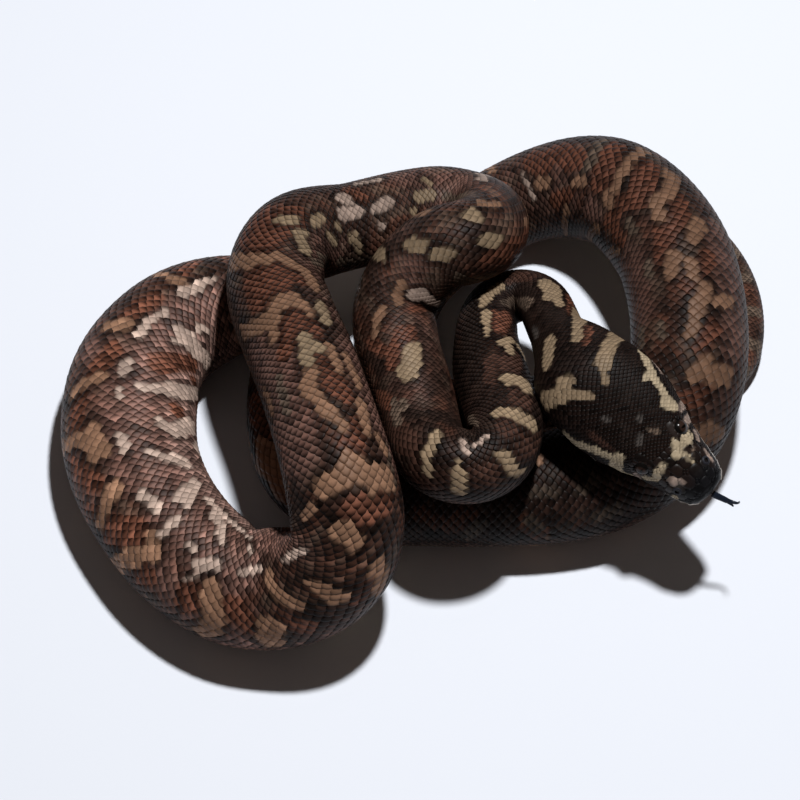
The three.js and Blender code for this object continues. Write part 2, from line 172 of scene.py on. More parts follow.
def value_noise(x: np.ndarray, y: np.ndarray, seed: int) -> np.ndarray:
    """Smooth noise from -1 to 1: random values at whole places, blended by smooth steps between.

    Args:
        x: First coordinate; one unit is one cell.
        y: Second coordinate.
        seed: Which noise.

    Returns:
        Noise at each place.
    """
    cells = np.random.default_rng(seed).uniform(-1.0, 1.0, (256, 256))
    x0, y0 = np.floor(x).astype(int), np.floor(y).astype(int)
    fx, fy = x - x0, y - y0
    fx, fy = fx * fx * (3 - 2 * fx), fy * fy * (3 - 2 * fy)
    a, b = cells[x0 % 256, y0 % 256], cells[(x0 + 1) % 256, y0 % 256]
    c, d = cells[x0 % 256, (y0 + 1) % 256], cells[(x0 + 1) % 256, (y0 + 1) % 256]
    return (a * (1 - fx) + b * fx) * (1 - fy) + (c * (1 - fx) + d * fx) * fy


# ------------------------------------------------------------------ the form of the body


@dataclass
class Spine:
    """The middle line of the animal, with a frame of way, side and top at even steps.

    The head leans over to its right by an angle that dies away along the neck.
    """

    step: float = 0.5
    points_per_span: int = 8
    smoothing: int = 6
    place_blur: float = 1.6
    way_blur: float = 1.2
    bend_blur: float = 2.4
    lean: float = 0.46
    lean_from: float = 26.0
    lean_to: float = 112.0
    place: np.ndarray = field(init=False)
    way: np.ndarray = field(init=False)
    side: np.ndarray = field(init=False)
    top: np.ndarray = field(init=False)
    bend: np.ndarray = field(init=False)
    length: float = field(init=False)
    starts: dict[str, float] = field(init=False)

    def __post_init__(self) -> None:
        """Lays the curve, cuts it into even steps and works out the frame at each."""
        stations = np.array([p for part in ROUTE_MM.values() for p in part], float)
        stations[:, :2] -= COIL_CENTRE_MM
        dense = self._through(stations)
        for _ in range(self.smoothing):
            dense[1:-1] = 0.5 * dense[1:-1] + 0.25 * (dense[:-2] + dense[2:])
        along = np.concatenate([[0.0], np.cumsum(np.linalg.norm(np.diff(dense, axis=0), axis=1))])
        self.length = float(along[-1])
        count = int(round(self.length / self.step)) + 1
        self.step = self.length / (count - 1)
        grid = np.linspace(0.0, self.length, count)
        self.place = np.stack([np.interp(grid, along, dense[:, k]) for k in range(3)], axis=1)
        self.place = self._soften(self.place, self.place_blur)
        self.way = unit(self._soften(np.gradient(self.place, self.step, axis=0), self.way_blur))
        level_side = unit(np.cross(self.way, [0.0, 0.0, 1.0]))
        level_top = np.cross(level_side, self.way)
        lean = self.lean * (1.0 - smooth(self.lean_from, self.lean_to, grid))[:, None]
        self.side = level_side * np.cos(lean) + level_top * np.sin(lean)
        self.top = level_top * np.cos(lean) - level_side * np.sin(lean)
        self.bend = self._soften(np.gradient(self.way, self.step, axis=0), self.bend_blur)
        first = 0
        self.starts = {}
        for name, part in ROUTE_MM.items():
            self.starts[name] = float(along[first * self.points_per_span])
            first += len(part)

    def _through(self, stations: np.ndarray) -> np.ndarray:
        """Centripetal Catmull-Rom curve: its knots lie apart by the root of the distance between stations.

        Args:
            stations: Places that the curve goes through.

        Returns:
            Points of the curve, the same number in each span.
        """
        ends = np.stack([2 * stations[0] - stations[1], 2 * stations[-1] - stations[-2]])
        padded = np.concatenate([ends[:1], stations, ends[1:]])
        p0, p1, p2, p3 = (padded[k : len(padded) - 3 + k, None, :] for k in range(4))
        t1 = np.sqrt(np.linalg.norm(p1 - p0, axis=2, keepdims=True))
        t2 = t1 + np.sqrt(np.linalg.norm(p2 - p1, axis=2, keepdims=True))
        t3 = t2 + np.sqrt(np.linalg.norm(p3 - p2, axis=2, keepdims=True))
        share = (np.arange(self.points_per_span) / self.points_per_span)[None, :, None]
        t = t1 + (t2 - t1) * share
        a1 = (t1 - t) / t1 * p0 + t / t1 * p1
        a2 = (t2 - t) / (t2 - t1) * p1 + (t - t1) / (t2 - t1) * p2
        a3 = (t3 - t) / (t3 - t2) * p2 + (t - t2) / (t3 - t2) * p3
        b1 = (t2 - t) / t2 * a1 + t / t2 * a2
        b2 = (t3 - t) / (t3 - t1) * a2 + (t - t1) / (t3 - t1) * a3
        curve = (t2 - t) / (t2 - t1) * b1 + (t - t1) / (t2 - t1) * b2
        return np.concatenate([curve.reshape(-1, 3), stations[-1:]])

    def _soften(self, rows: np.ndarray, width: float) -> np.ndarray:
        """Blurs rows along the spine by a bell curve, with the rows mirrored past each end.

        Args:
            rows: One row for each step of the spine.
            width: Width of the bell.

        Returns:
            The blurred rows.
        """
        reach = int(math.ceil(3 * width / self.step))
        bell = np.exp(-0.5 * (np.arange(-reach, reach + 1) * self.step / width) ** 2)
        bell /= bell.sum()
        head = 2 * rows[:1] - rows[reach:0:-1]
        tail = 2 * rows[-1:] - rows[-2 : -reach - 2 : -1]
        padded = np.concatenate([head, rows, tail])
        return np.stack([np.convolve(padded[:, k], bell, "valid") for k in range(3)], axis=1)

    @property
    def nape(self) -> float:
        """Distance from the snout to the nape."""
        return self.starts["neck"]

    @property
    def distances(self) -> np.ndarray:
        """Distance from the snout at every step."""
        return np.arange(len(self.place)) * self.step


@dataclass(frozen=True)
class Head:
    """Sizes of the head and the form of its section; angles are in radians, up from the left side."""

    jaw_half_width: float = 22.5
    mouth_back: float = 45.0
    mouth_front_drop: float = 1.6
    mouth_sag: float = 2.6
    mouth_fade: float = 4.0
    groove_depth: float = 0.7
    groove_angle: float = 0.045
    lip_swell: float = 0.35
    lip_angle: float = 0.3
    brow_rise: float = 0.9
    brow_angle: float = 0.95
    brow_spread: float = 0.28
    brow_reach: float = 6.0
    cheek_back: float = 24.0
    cheek_reach: float = 22.0
    cheek_boxiness: float = 0.7
    snout_slope: float = 0.24
    slope_back: float = 18.0
    slope_reach: float = 14.0
    eye_back: float = 25.5
    eye_out: float = 9.5
    eye_up: float = 6.2
    eye_radius: float = 3.8
    nostril_back: float = 10.0
    nostril_out: float = 8.0
    nostril_up: float = 5.0

    def mouth_height(self, distance: np.ndarray) -> np.ndarray:
        """Height of the line of the mouth: a shallow half wave that dips under the eye."""
        share = np.minimum(distance, self.mouth_back) / self.mouth_back
        return -self.mouth_front_drop - self.mouth_sag * np.sin(0.8 * math.pi * share)

    def mouth_angle(self, distance: np.ndarray) -> np.ndarray:
        """Angle at which the mouth shuts: the arc sine of mouth height over depth of chin."""
        chin = eased(HEAD_OUTLINE_MM, distance, 3)
        return np.arcsin(np.clip(self.mouth_height(distance) / chin, -0.7, 0.0))

    def section(
        self, distance: np.ndarray, cosine: np.ndarray, sine: np.ndarray
    ) -> tuple[np.ndarray, np.ndarray]:
        """Section of the head: |out|^b + |up|^b = 1 in its outline, with b greatest at the cheeks.

        It slopes in above the lips of the snout, and brow, lips and the groove between them are bell curves
        of the angle that swell it or draw it in.

        Args:
            distance: Distance behind the snout.
            cosine: Cosine of the angle round the spine.
            sine: Its sine.

        Returns:
            Distance out to the left and up from the spine.
        """
        wide = eased(HEAD_OUTLINE_MM, distance, 1)
        crown = eased(HEAD_OUTLINE_MM, distance, 2)
        chin = eased(HEAD_OUTLINE_MM, distance, 3)
        boxy = 2.0 + self.cheek_boxiness * np.exp(-(((distance - self.cheek_back) / self.cheek_reach) ** 2))
        slope = self.snout_slope * np.exp(-(((distance - self.slope_back) / self.slope_reach) ** 2))
        up = np.sign(sine) * np.abs(sine) ** (2 / boxy)
        out = np.sign(cosine) * np.abs(cosine) ** (2 / boxy)
        tall = np.where(up > 0, crown, chin)
        angle = np.arctan2(sine, np.abs(cosine))
        shut = self.mouth_angle(distance)
        brow = ((distance - self.eye_back) / self.brow_reach) ** 2
        brow = brow + ((angle - self.brow_angle) / self.brow_spread) ** 2
        lip = ((angle - shut) / self.lip_angle) ** 2
        groove = ((angle - shut) / self.groove_angle) ** 2
        in_mouth = 1.0 - smooth(self.mouth_back - self.mouth_fade, self.mouth_back, distance)
        lips = self.lip_swell * np.exp(-lip) - self.groove_depth * np.exp(-groove)
        swell = self.brow_rise * np.exp(-brow) + in_mouth * lips
        scale = 1.0 + swell / np.maximum(wide, 4.0)
        return wide * out * (1 - slope * np.maximum(up, 0)) * scale, tall * up * scale


@dataclass
class Form:
    """The outer surface of head and body as a grid: rows along the spine, columns round the girth.

    A length that lies on the floor is lower and wider than one that is lifted off it.  Pairs of places are
    distances behind the nape where a blend begins and ends.
    """

    spine: Spine
    head: Head = Head()
    columns: int = 288
    fine: int = 720
    floor_squash: float = 0.9
    floor_spread: float = 1.03
    lift_from: float = 0.95
    lift_over: float = 0.5
    bend_room: float = 0.82
    neck_half_width: float = 12.2
    neck_flare: tuple[float, float] = (-2.0, 35.0)
    nape_blend: tuple[float, float] = (-14.0, 4.0)
    head_past_nape: float = 8.0
    points: np.ndarray = field(init=False)
    normals: np.ndarray = field(init=False)
    angles: np.ndarray = field(init=False)
    girth: np.ndarray = field(init=False)

    def __post_init__(self) -> None:
        """Works out places and normals of the whole grid, its columns at even shares of the girth."""
        distance = self.spine.distances
        fine = np.linspace(-0.5 * math.pi, 1.5 * math.pi, self.fine + 1)[None, :]
        out, up = self.section(distance[:, None], fine)
        pace = np.hypot(np.diff(out, axis=1), np.diff(up, axis=1))
        run = np.concatenate([np.zeros((len(distance), 1)), np.cumsum(pace, axis=1)], axis=1)
        self.girth = run[:, -1].copy()
        share = run / run[:, -1:]
        offset = 2.0 * np.arange(len(distance))[:, None]
        wanted = (np.arange(self.columns) / self.columns)[None, :] + offset
        every = np.broadcast_to(fine, share.shape)
        angle = np.interp(wanted.ravel(), (share + offset).ravel(), every.ravel())
        self.angles = angle.reshape(len(distance), self.columns)
        self.points = self.place_at(distance[:, None], self.angles)
        along = np.gradient(self.points, axis=0)
        round_ = np.roll(self.points, -1, axis=1) - np.roll(self.points, 1, axis=1)
        self.normals = unit(np.cross(along, round_))
        outward = self.points - self.spine.place[:, None, :]
        self.normals *= np.sign(np.sum(self.normals * outward, axis=2).mean())

    def section(self, distance: np.ndarray, angle: np.ndarray) -> tuple[np.ndarray, np.ndarray]:
        """Section at a distance: an ellipse for the body, the head's own in front, a blend at the nape.

        Args:
            distance: Distance behind the snout.
            angle: Angle round the spine, from the left side upwards.

        Returns:
            Distance out to the left and up from the spine.
        """
        from_nape = distance - self.spine.nape
        height = np.interp(distance, self.spine.distances, self.spine.place[:, 2])
        girth = eased(GIRTH_MM, from_nape)
        lifted = np.clip((height - girth * self.lift_from) / (girth * self.lift_over), 0.0, 1.0)
        flare = 1.0 - smooth(*self.neck_flare, from_nape)
        wide = girth * (self.floor_spread + (1 - self.floor_spread) * lifted)
        wide = wide + flare * (self.head.jaw_half_width - self.neck_half_width)
        tall = girth * (self.floor_squash + (1 - self.floor_squash) * lifted)
        cosine, sine = np.cos(angle), np.sin(angle)
        body_out, body_up = wide * cosine, tall * sine
        in_head = np.minimum(distance, self.spine.nape + self.head_past_nape)
        head_out, head_up = self.head.section(in_head, cosine, sine)
        share = smooth(*self.nape_blend, from_nape)
        return head_out * (1 - share) + body_out * share, head_up * (1 - share) + body_up * share

    def place_at(self, distance: np.ndarray, angle: np.ndarray) -> np.ndarray:
        """Surface point: section laid on the spine's frame, crowded inside bends, flat on the floor.

        Inside a bend an offset x is drawn in to x / (1 + (x / room)^4)^(1/4), so that rings never cross.

        Args:
            distance: Distance behind the snout of every step, as a column.
            angle: Angles round the spine, a row for each step.

        Returns:
            Points of the surface.
        """
        spine = self.spine
        out, up = self.section(distance, angle)
        offset = out[..., None] * spine.side[:, None, :] + up[..., None] * spine.top[:, None, :]
        rate = np.linalg.norm(spine.bend, axis=1)[:, None]
        inward = unit(spine.bend)[:, None, :]
        reach = np.sum(offset * inward, axis=2)
        crowding = (1.0 + (np.maximum(reach, 0.0) * rate / self.bend_room) ** 4) ** 0.25
        offset += inward * (np.where(reach > 0, reach / crowding - reach, 0.0))[..., None]
        points = spine.place[:, None, :] + offset
        points[..., 2] = np.maximum(points[..., 2], 0.0)
        return points

    def read(self, distance: np.ndarray, share: np.ndarray) -> tuple[np.ndarray, np.ndarray]:
        """Point and normal of the surface between grid places, blended from the four around it.

        Args:
            distance: Distance behind the snout.
            share: Share of the girth from the middle of the belly.

        Returns:
            Points and unit normals.
        """
        row = np.clip(distance / self.spine.step, 0, len(self.points) - 1.001)
        column = (share % 1.0) * self.columns
        r0, c0 = row.astype(int), column.astype(int) % self.columns
        c1 = (c0 + 1) % self.columns
        fr, fc = (row - r0)[..., None], (column - np.floor(column))[..., None]

        def blend(grid: np.ndarray) -> np.ndarray:
            """Mixes the four neighbours.

            Args:
                grid: Values at the places of the grid.

            Returns:
                Values at the places wanted.
            """
            low = grid[r0, c0] * (1 - fc) + grid[r0, c1] * fc
            high = grid[r0 + 1, c0] * (1 - fc) + grid[r0 + 1, c1] * fc
            return low * (1 - fr) + high * fr

        return blend(self.points), unit(blend(self.normals))

    def girth_at(self, distance: np.ndarray) -> np.ndarray:
        """Length round the section at a distance."""
        return np.interp(distance, self.spine.distances, self.girth)

    def share_towards(self, back: float, left: float, up: float) -> float:
        """Share of the girth where the skin lies in the direction of a point of the head's section.

        Args:
            back: Distance of the section behind the snout.
            left: How far the point is out to the left.
            up: How far it is up.

        Returns:
            The share of the girth.
        """
        row = int(round(back / self.spine.step))
        offset = self.points[row] - self.spine.place[row]
        polar = np.arctan2(offset @ self.spine.top[row], offset @ self.spine.side[row])
        turn = np.angle(np.exp(1j * (polar - math.atan2(up, left))))
        return float(np.abs(turn).argmin() / self.columns)

    def eye_share(self, side: int) -> float:
        """Share of the girth where the eye of one side lies: 1 is left, -1 is right."""
        return self.share_towards(self.head.eye_back, side * self.head.eye_out, self.head.eye_up)

    def nostril_share(self, side: int) -> float:
        """Share of the girth where the nostril of one side lies."""
        return self.share_towards(self.head.nostril_back, side * self.head.nostril_out, self.head.nostril_up)

    def mouth_share(self, distance: np.ndarray) -> np.ndarray:
        """Share of the girth, on the left side, where the line of the mouth lies.

        Args:
            distance: Distance behind the snout.

        Returns:
            The share at each distance.
        """
        shut = self.head.mouth_angle(distance)
        row = np.clip(np.round(distance / self.spine.step).astype(int), 0, len(self.angles) - 1)
        half = self.columns // 2
        column = np.abs(self.angles[row, :half] - shut[..., None]).argmin(axis=-1)
        return column / self.columns


# ------------------------------------------------------------------ colours and markings


class Pigment(Enum):
    """The colours of the animal, some of which carry painted shade, sheen and light, each as six hex digits.
    """

    BLACK = "180f0c"
    DARK = "2a211d"
    BROWN = "432e26"
    RUST = "6b4435"
    DULL_AND_SHADED_TAN = "66564a"
    TAN = "80614d"
    CREAM = "84715b"
    PALE = "9c887c"
    IVORY = "a8987f"
    MAUVE = "7a5a50"
    GREY = "5b5551"
    ROSE = "92746a"
    FLANK_AND_SHEEN = "7a655d"
    LIP_AND_RIM_LIGHT = "c9bfb2"
    SNOUT = "101114"
    BELLY = "a8997f"
    IRIS = "2e201b"
    EYE_RIM = "0d0b0a"
    PUPIL = "050404"
    NOSTRIL_RIM = "24242a"
    NOSTRIL_HOLE = "030303"
    TONGUE = "1b212d"

    @property
    def light(self) -> np.ndarray:
        """The colour as linear light."""
        parts = np.array([int(self.value[k : k + 2], 16) / 255 for k in (0, 2, 4)])
        return np.where(parts <= 0.04045, parts / 12.92, ((parts + 0.055) / 1.055) ** 2.4)


# Strokes of each colour, laid in this order.  Each is a line with round ends: distance behind the nape and
# percent of the girth where it begins, the same where it ends, and half its width.
STROKES_MM: tuple[tuple[Pigment, tuple[tuple[float, float, float, float, float], ...]], ...] = (
    (Pigment.BROWN, (
        (-24, 63.5, -14, 64.3, 1.5), (60, 46, 72, 44, 4), (116, 60, 127, 54, 5), (120, 50, 130, 48, 4),
        (138, 58, 152, 52, 5), (150, 67, 158, 62, 4), (164, 62, 178, 66, 5), (184, 60, 198, 66, 5),
    )),
    (Pigment.MAUVE, (
        (268, 45, 278, 45, 5), (330, 48, 345, 50, 7), (352, 42, 366, 42, 4), (470, 38, 512, 36, 12),
        (482, 66, 512, 68, 7), (512, 68, 520, 70, 7), (560, 38, 590, 36, 12), (590, 66, 600, 74, 6),
        (600, 50, 640, 47, 13), (616, 66, 625, 62, 6), (650, 45, 690, 45, 13), (660, 66, 672, 68, 5),
        (664, 52, 700, 50, 10), (700, 44, 735, 44, 10), (700, 60, 716, 62, 5), (738, 45, 760, 45, 10),
        (1050, 38, 1090, 40, 6), (1062, 68, 1096, 70, 8), (1128, 68, 1134, 66, 4),
    )),
    (Pigment.ROSE, (
        (600, 35, 652, 35, 6), (652, 34, 700, 32, 10), (700, 31, 762, 31, 12),
    )),
    (Pigment.RUST, (
        (10, 44.7, 16, 39.9, 2), (28, 41, 44, 35, 2.4), (88, 60, 100, 57, 3), (90, 54, 100, 55, 2.6),
        (205, 62, 214, 68, 3.5), (224, 55, 236, 48, 5), (232, 58, 238, 62, 3), (250, 42, 256, 36, 3),
        (300, 33, 312, 26, 4), (382, 50, 385, 44, 2.4), (415, 50, 428, 44, 6.5), (418, 40, 427, 37, 5),
        (438, 44, 449, 42, 5), (440, 57, 446, 57, 2.4), (441, 51, 447, 49, 5.5), (463, 51, 470, 47, 5),
        (469, 54, 474, 54, 3), (472, 46, 477, 43, 2.6), (486, 52, 494, 56, 3.4), (496, 53, 501, 57, 3),
        (514, 57, 520, 53, 4), (534, 62, 536, 50, 3.4), (552, 66, 557, 69, 2.6), (573, 70, 578, 66, 2.6),
        (592, 66, 598, 62, 4), (612, 66, 613, 61, 3.6), (628, 66, 633, 70, 3.6), (640, 60, 648, 66, 6),
        (656, 67, 662, 72, 2.6), (664, 62, 670, 66, 3.4), (674, 68, 680, 70, 2.6), (684, 34, 690, 36, 3),
        (686, 64, 696, 62, 4), (704, 24, 716, 30, 3.4), (704, 58, 712, 55, 4), (712, 42, 724, 34, 5),
        (728, 56, 738, 54, 4), (752, 58, 758, 62, 3), (912, 36, 918, 34, 3), (924, 32, 930, 36, 3.4),
        (952, 34, 957, 28, 2.6), (1028, 48, 1033, 44, 3), (1046, 48, 1052, 45, 3),
        (1068, 52, 1080, 45, 3.4), (1084, 56, 1100, 54, 4), (1096, 50, 1106, 47, 4),
        (1106, 68, 1116, 66, 3.4), (1114, 55, 1126, 47, 5), (1118, 66, 1120, 60, 4),
        (1134, 58, 1142, 46, 5), (1150, 62, 1160, 64, 3), (1152, 52, 1160, 46, 5), (1166, 52, 1172, 44, 4),
    )),
    # Dull tan: dull patches, and tan blotches on the shaded sides painted darker as painted shade.
    (Pigment.DULL_AND_SHADED_TAN, (
        (-49, 42, -47, 37, 1.1), (-33, 46, -29, 48.7, 0.9), (46, 64, 56, 69, 3), (56, 70, 66, 66, 3.6),
        (66, 63, 80, 58, 2.4), (143, 30, 158, 37, 2), (195, 62, 206, 61, 2.6), (200, 57, 204, 57, 1.6),
        (288, 27, 296, 20, 2.6), (313, 62, 336, 57, 2.4), (338, 55, 343, 54, 1.6), (385, 76, 397, 72, 2.4),
        (407, 75, 419, 66, 1.5), (418, 73, 428, 64, 1.4), (485, 39, 500, 38, 1.6), (520, 68, 530, 66, 2),
        (930, 28, 935, 33, 2), (953, 34, 956, 30, 1.6), (955, 41.5, 962, 41.5, 2), (974, 41, 979, 43, 2),
        (977, 32, 984, 33, 2), (1046, 66, 1053, 67, 1.8), (1048, 59, 1053, 60, 1.5),
        (1077, 62, 1082, 62, 1.4), (1103, 62, 1108, 62, 2), (1144, 55, 1146, 42, 1.4),
        (1441, 44, 1442, 24, 2.2), (1452, 42, 1452, 30, 2), (1466, 46, 1467, 36, 1.8),
        (1482, 48, 1483, 40, 1.6), (1495, 44, 1496, 36, 1.5),
    )),
    (Pigment.TAN, (
        (241, 59.5, 251, 54.5, 1.8), (253, 48, 266, 46.5, 2.2), (285, 66, 288, 61, 1.3),
        (302, 54, 306, 49, 2), (432, 40, 429, 32, 2.4), (431, 50, 436, 55, 1.7), (433, 48, 432, 40, 2.2),
        (436, 55, 440, 59, 1.7), (441, 60, 448, 61.5, 2.2), (455, 53, 454, 48, 2.2),
        (459, 39, 455, 32, 2.4), (455, 48, 460, 42, 2.8), (463, 56, 455, 53, 1.6), (460, 44, 468, 42, 2),
        (480, 57, 491, 58, 1.8), (484, 62.5, 496, 63.5, 2), (485, 31, 495, 31.5, 0.9),
        (489, 49, 497, 46.5, 2.4), (497, 47, 505, 49.5, 2.2), (505, 50, 512, 53, 1.8),
        (505, 61.5, 514, 60.5, 2), (516, 64, 520, 66, 1.6), (527, 57, 524, 52, 2.8), (527, 50, 528, 42, 2),
        (529, 64, 528, 58, 3.2), (533, 40, 536, 37, 1.4), (544, 55, 540, 48, 2), (556, 74, 549, 64, 1.2),
        (560, 64, 560, 56.5, 2.1), (570, 61.5, 575, 58, 2.2), (576, 58, 579, 53, 2.4),
        (582, 67, 586, 74, 3), (586, 66, 587, 72, 3), (603, 66, 606, 58, 2.6), (606, 74, 603, 68, 2.2),
        (630, 61, 634, 57, 2.6), (634, 64, 640, 74, 2.8), (652, 69, 655, 64, 1.8), (655, 64, 658, 58, 2.1),
        (672, 56.5, 681, 58.5, 2.2), (672, 60, 680, 61, 2), (680, 61, 684, 72, 1.6),
        (698, 66, 701, 60, 1.5), (700, 60, 702, 55, 1.6), (722, 61, 725, 54, 1.9), (747, 65, 749, 58, 1.1),
        (749, 57, 751, 53, 1.4), (1021, 42, 1020, 34, 1.8), (1024, 38, 1024, 30, 1.7),
        (1037, 48, 1041, 46, 2.2), (1038, 45, 1040, 38, 2), (1050, 51, 1058, 50, 2),
        (1058, 50, 1067, 46.5, 2.5), (1062, 44, 1063, 40, 2), (1072, 50, 1078, 50, 1.8),
        (1075, 56, 1082, 54, 2.6), (1089, 48, 1094, 44, 2.2), (1102, 54, 1110, 52, 2.4),
        (1104, 71, 1114, 78, 2.1), (1108, 51, 1113, 46, 2.3), (1114, 45, 1119, 42, 2),
        (1123, 62, 1128, 61, 1.7), (1124, 71, 1139, 80, 2.1), (1127, 58, 1130, 50, 1.5),
        (1131, 50, 1133, 40, 1.5), (1144, 59, 1148, 59, 2.1), (1153, 67, 1161, 78, 1.7),
        (1164, 57, 1170, 56, 2.2),
    )),
    (Pigment.PALE, (
        (-55, 31, -51, 30.5, 1.2), (-52.6, 57.4, -50.8, 59.6, 1.6), (-46, 29.5, -43, 27.5, 1.1),
        (-38.5, 75, -38.5, 71.5, 2), (-38, 32, -37.5, 24, 1.7), (-33, 31, -32.5, 25.1, 1.6),
        # The strokes from 161 to 171 behind the nape are a painted highlight: the glint on the squeezed inner
        # fold of the neck's bend.
        (-18, 27, -13, 25.9, 1.2), (161, 48, 167, 49, 1.4), (170, 52, 171, 47, 1.4), (262, 42, 268, 36, 3),
        (266, 33, 267, 26, 2.8), (325, 45, 330, 38, 1.8), (370, 42, 380, 40, 1.6), (372, 53, 377, 55, 2.8),
        (377, 62, 378, 62, 1.6), (386, 54, 393, 54.5, 2.5), (388, 49.5, 391, 47, 1.7),
        (552, 43.5, 565, 47.5, 1.6), (585, 50.5, 596, 52, 1.6), (594, 46, 595, 44, 1.2),
        (598, 41, 600, 40, 1.2), (605, 38.5, 635, 38, 1.3), (608, 52.5, 614, 55, 2.5),
        (612, 46, 617, 43, 2.1), (613, 58, 616, 60, 1.1), (618, 42, 626, 40.5, 2.2),
        (620, 52.5, 621, 52, 1.5), (632, 55, 633, 50, 2), (636, 45, 641, 41, 2.1), (641, 45, 645, 38, 2.8),
        (642, 52, 649, 53, 2.3), (656, 37.5, 660, 41, 2.8), (660, 42, 666, 46, 1.8), (668, 29, 672, 27, 3),
        (670, 51.5, 675, 52, 1.7), (674, 37, 681, 41, 2.2), (677, 35, 684, 30, 4.6),
        (693, 51, 696, 51, 1.2), (698, 46, 699, 38, 2), (700, 38, 704, 31, 4), (703, 50.5, 708, 50, 2.1),
        (705, 31, 714, 24, 3.8), (722, 50, 730, 50.5, 2), (728, 41, 732, 39, 1.3),
        (730, 50, 737, 48.5, 1.5), (734, 37, 738, 29, 4.4), (735, 42, 737, 39, 2.4),
        (744, 39, 748, 38, 1.5), (749, 51, 755, 50.5, 2.3), (756, 52, 761, 52, 1.5),
        (901, 45, 902, 30, 1.1), (1173, 60, 1177, 50, 1.3),
    )),
    (Pigment.CREAM, (
        (-6, 47.5, -3, 45.2, 1.3), (-6, 54.5, -3, 57.7, 1.4), (-1, 43.3, 10, 30.7, 3),
        (-1, 59.3, 1.5, 69.4, 2.2), (1, 56.4, 2, 60.4, 1.4), (10, 62.2, 18, 57.9, 2.6),
        (12, 47.8, 20, 41.4, 2), (19, 40.9, 35, 34.5, 2.6), (38, 46, 41, 46, 2.4), (44, 48, 50, 46, 4.2),
        (72, 48, 86, 46, 1.9), (91, 49.5, 103, 49.5, 1.7), (104, 61, 108, 55, 2.4), (106, 66, 110, 70, 2),
        (109, 59, 113, 58, 1.9), (132, 61, 132, 54, 3.8), (135, 62, 136, 60, 2.4),
        (148, 64, 148.5, 47, 2.3), (159, 70, 160, 57, 1.6), (171, 70, 172, 56, 1.4),
        (178, 65, 181, 47, 1.3), (214, 53, 220, 54, 2.2), (217, 51, 228, 47, 3.7), (270, 67, 271, 57, 1.5),
        (280, 52, 283, 47, 1.9), (285, 42, 288, 39, 1.9), (297, 53, 298, 50, 2.1), (298, 41, 300, 38, 1.7),
        (350, 49.5, 352, 46.5, 1.1), (350, 53.5, 357, 54.5, 2.1), (360, 58.5, 362, 59.5, 1.2),
        (387, 69, 390, 62.5, 1.4), (396, 58.5, 397, 58, 1), (400, 63.5, 403, 61, 1.4),
        (404, 54.5, 407, 55.5, 2), (414, 51.5, 416, 47.5, 1.2), (415.5, 56.5, 417, 55, 1.1),
        (420, 57, 424, 60, 1.7), (458, 61, 467, 60, 2.1), (475, 50.5, 483, 49, 2.5),
        (478, 53, 480, 53.5, 1.3),
    )),
    (Pigment.IVORY, (
        (-54.5, 73.5, -54.5, 71, 1.4), (-45, 44, -50, 43, 1.1), (-44.5, 65, -43.5, 56, 1.8),
        (-41.5, 70, -44.5, 66, 1.6), (-43.5, 46, -42.5, 34, 2), (-41.5, 44, -40, 43, 0.9),
        (-30, 73.1, -36, 75, 1.4), (-28.5, 65.2, -30.5, 72.1, 2.6), (-30, 33.6, -27, 35.8, 2.6),
        (-25.5, 34.4, -17, 33, 1.7), (-20, 67.8, -25, 66.4, 1.7), (-14, 71.3, -20, 68.3, 1.9),
        (-16, 32.1, -10, 29.7, 2), (-15.5, 36.2, -15, 33.2, 1.2), (-8, 73.3, -14, 71.8, 1.9),
        (-11, 29.1, -6, 26.5, 2),
    )),
    (Pigment.GREY, (
        (-52, 59, -53, 62, 1.3), (-30.5, 54.6, -29, 52.2, 1), (-24.5, 47.9, -24, 47.5, 1.1),
        (-15.5, 56.2, -14, 56.8, 0.8), (27, 65, 32, 66.5, 1.5),
    )),
)

# Where the strokes above are laid; elsewhere blotches come from noise.  Distance behind the nape from and to,
# and percent of the girth from and to.
STROKED_MM: tuple[tuple[float, float, float, float], ...] = (
    (-70, 20, 22, 80), (20, 230, 27, 79), (230, 310, 20, 76), (310, 345, 35, 63), (345, 400, 35, 82),
    (400, 520, 25, 76), (520, 590, 27, 81), (590, 700, 28, 79), (700, 765, 20, 71), (900, 960, 20, 50),
    (960, 1000, 20, 60), (1014, 1040, 23, 72), (1040, 1186, 27, 83), (1430, 1506, 18, 52),
)


@dataclass(frozen=True)
class Edge:
    """How a stroke ends: cover fades from inner to outer distance of its outline, below 0 being inside."""

    inner: float = -0.25
    outer: float = 0.25
    cover: float = 1.0


SOFT_EDGES: dict[Pigment, Edge] = {
    Pigment.MAUVE: Edge(-4.0, 4.0, 0.7),
    Pigment.ROSE: Edge(-5.0, 4.0, 0.65),
    Pigment.GREY: Edge(-1.0, 1.2, 0.75),
}
BLOTCHES = (Pigment.TAN, Pigment.CREAM, Pigment.PALE, Pigment.IVORY)


@dataclass(frozen=True)
class Site:
    """Places on the skin, with the noise that every layer of colour reads.

    Attributes:
        along: Distance behind the nape.
        share: Share of the girth.
        girth: Length round the body.
        across: Way round the body from the middle of the back.
        grain: Noise about as fine as a scale.
        patchy: Noise a few scales wide.
        broad: Noise as wide as the largest blotches.
    """

    along: np.ndarray
    share: np.ndarray
    girth: np.ndarray
    across: np.ndarray
    grain: np.ndarray
    patchy: np.ndarray
    broad: np.ndarray


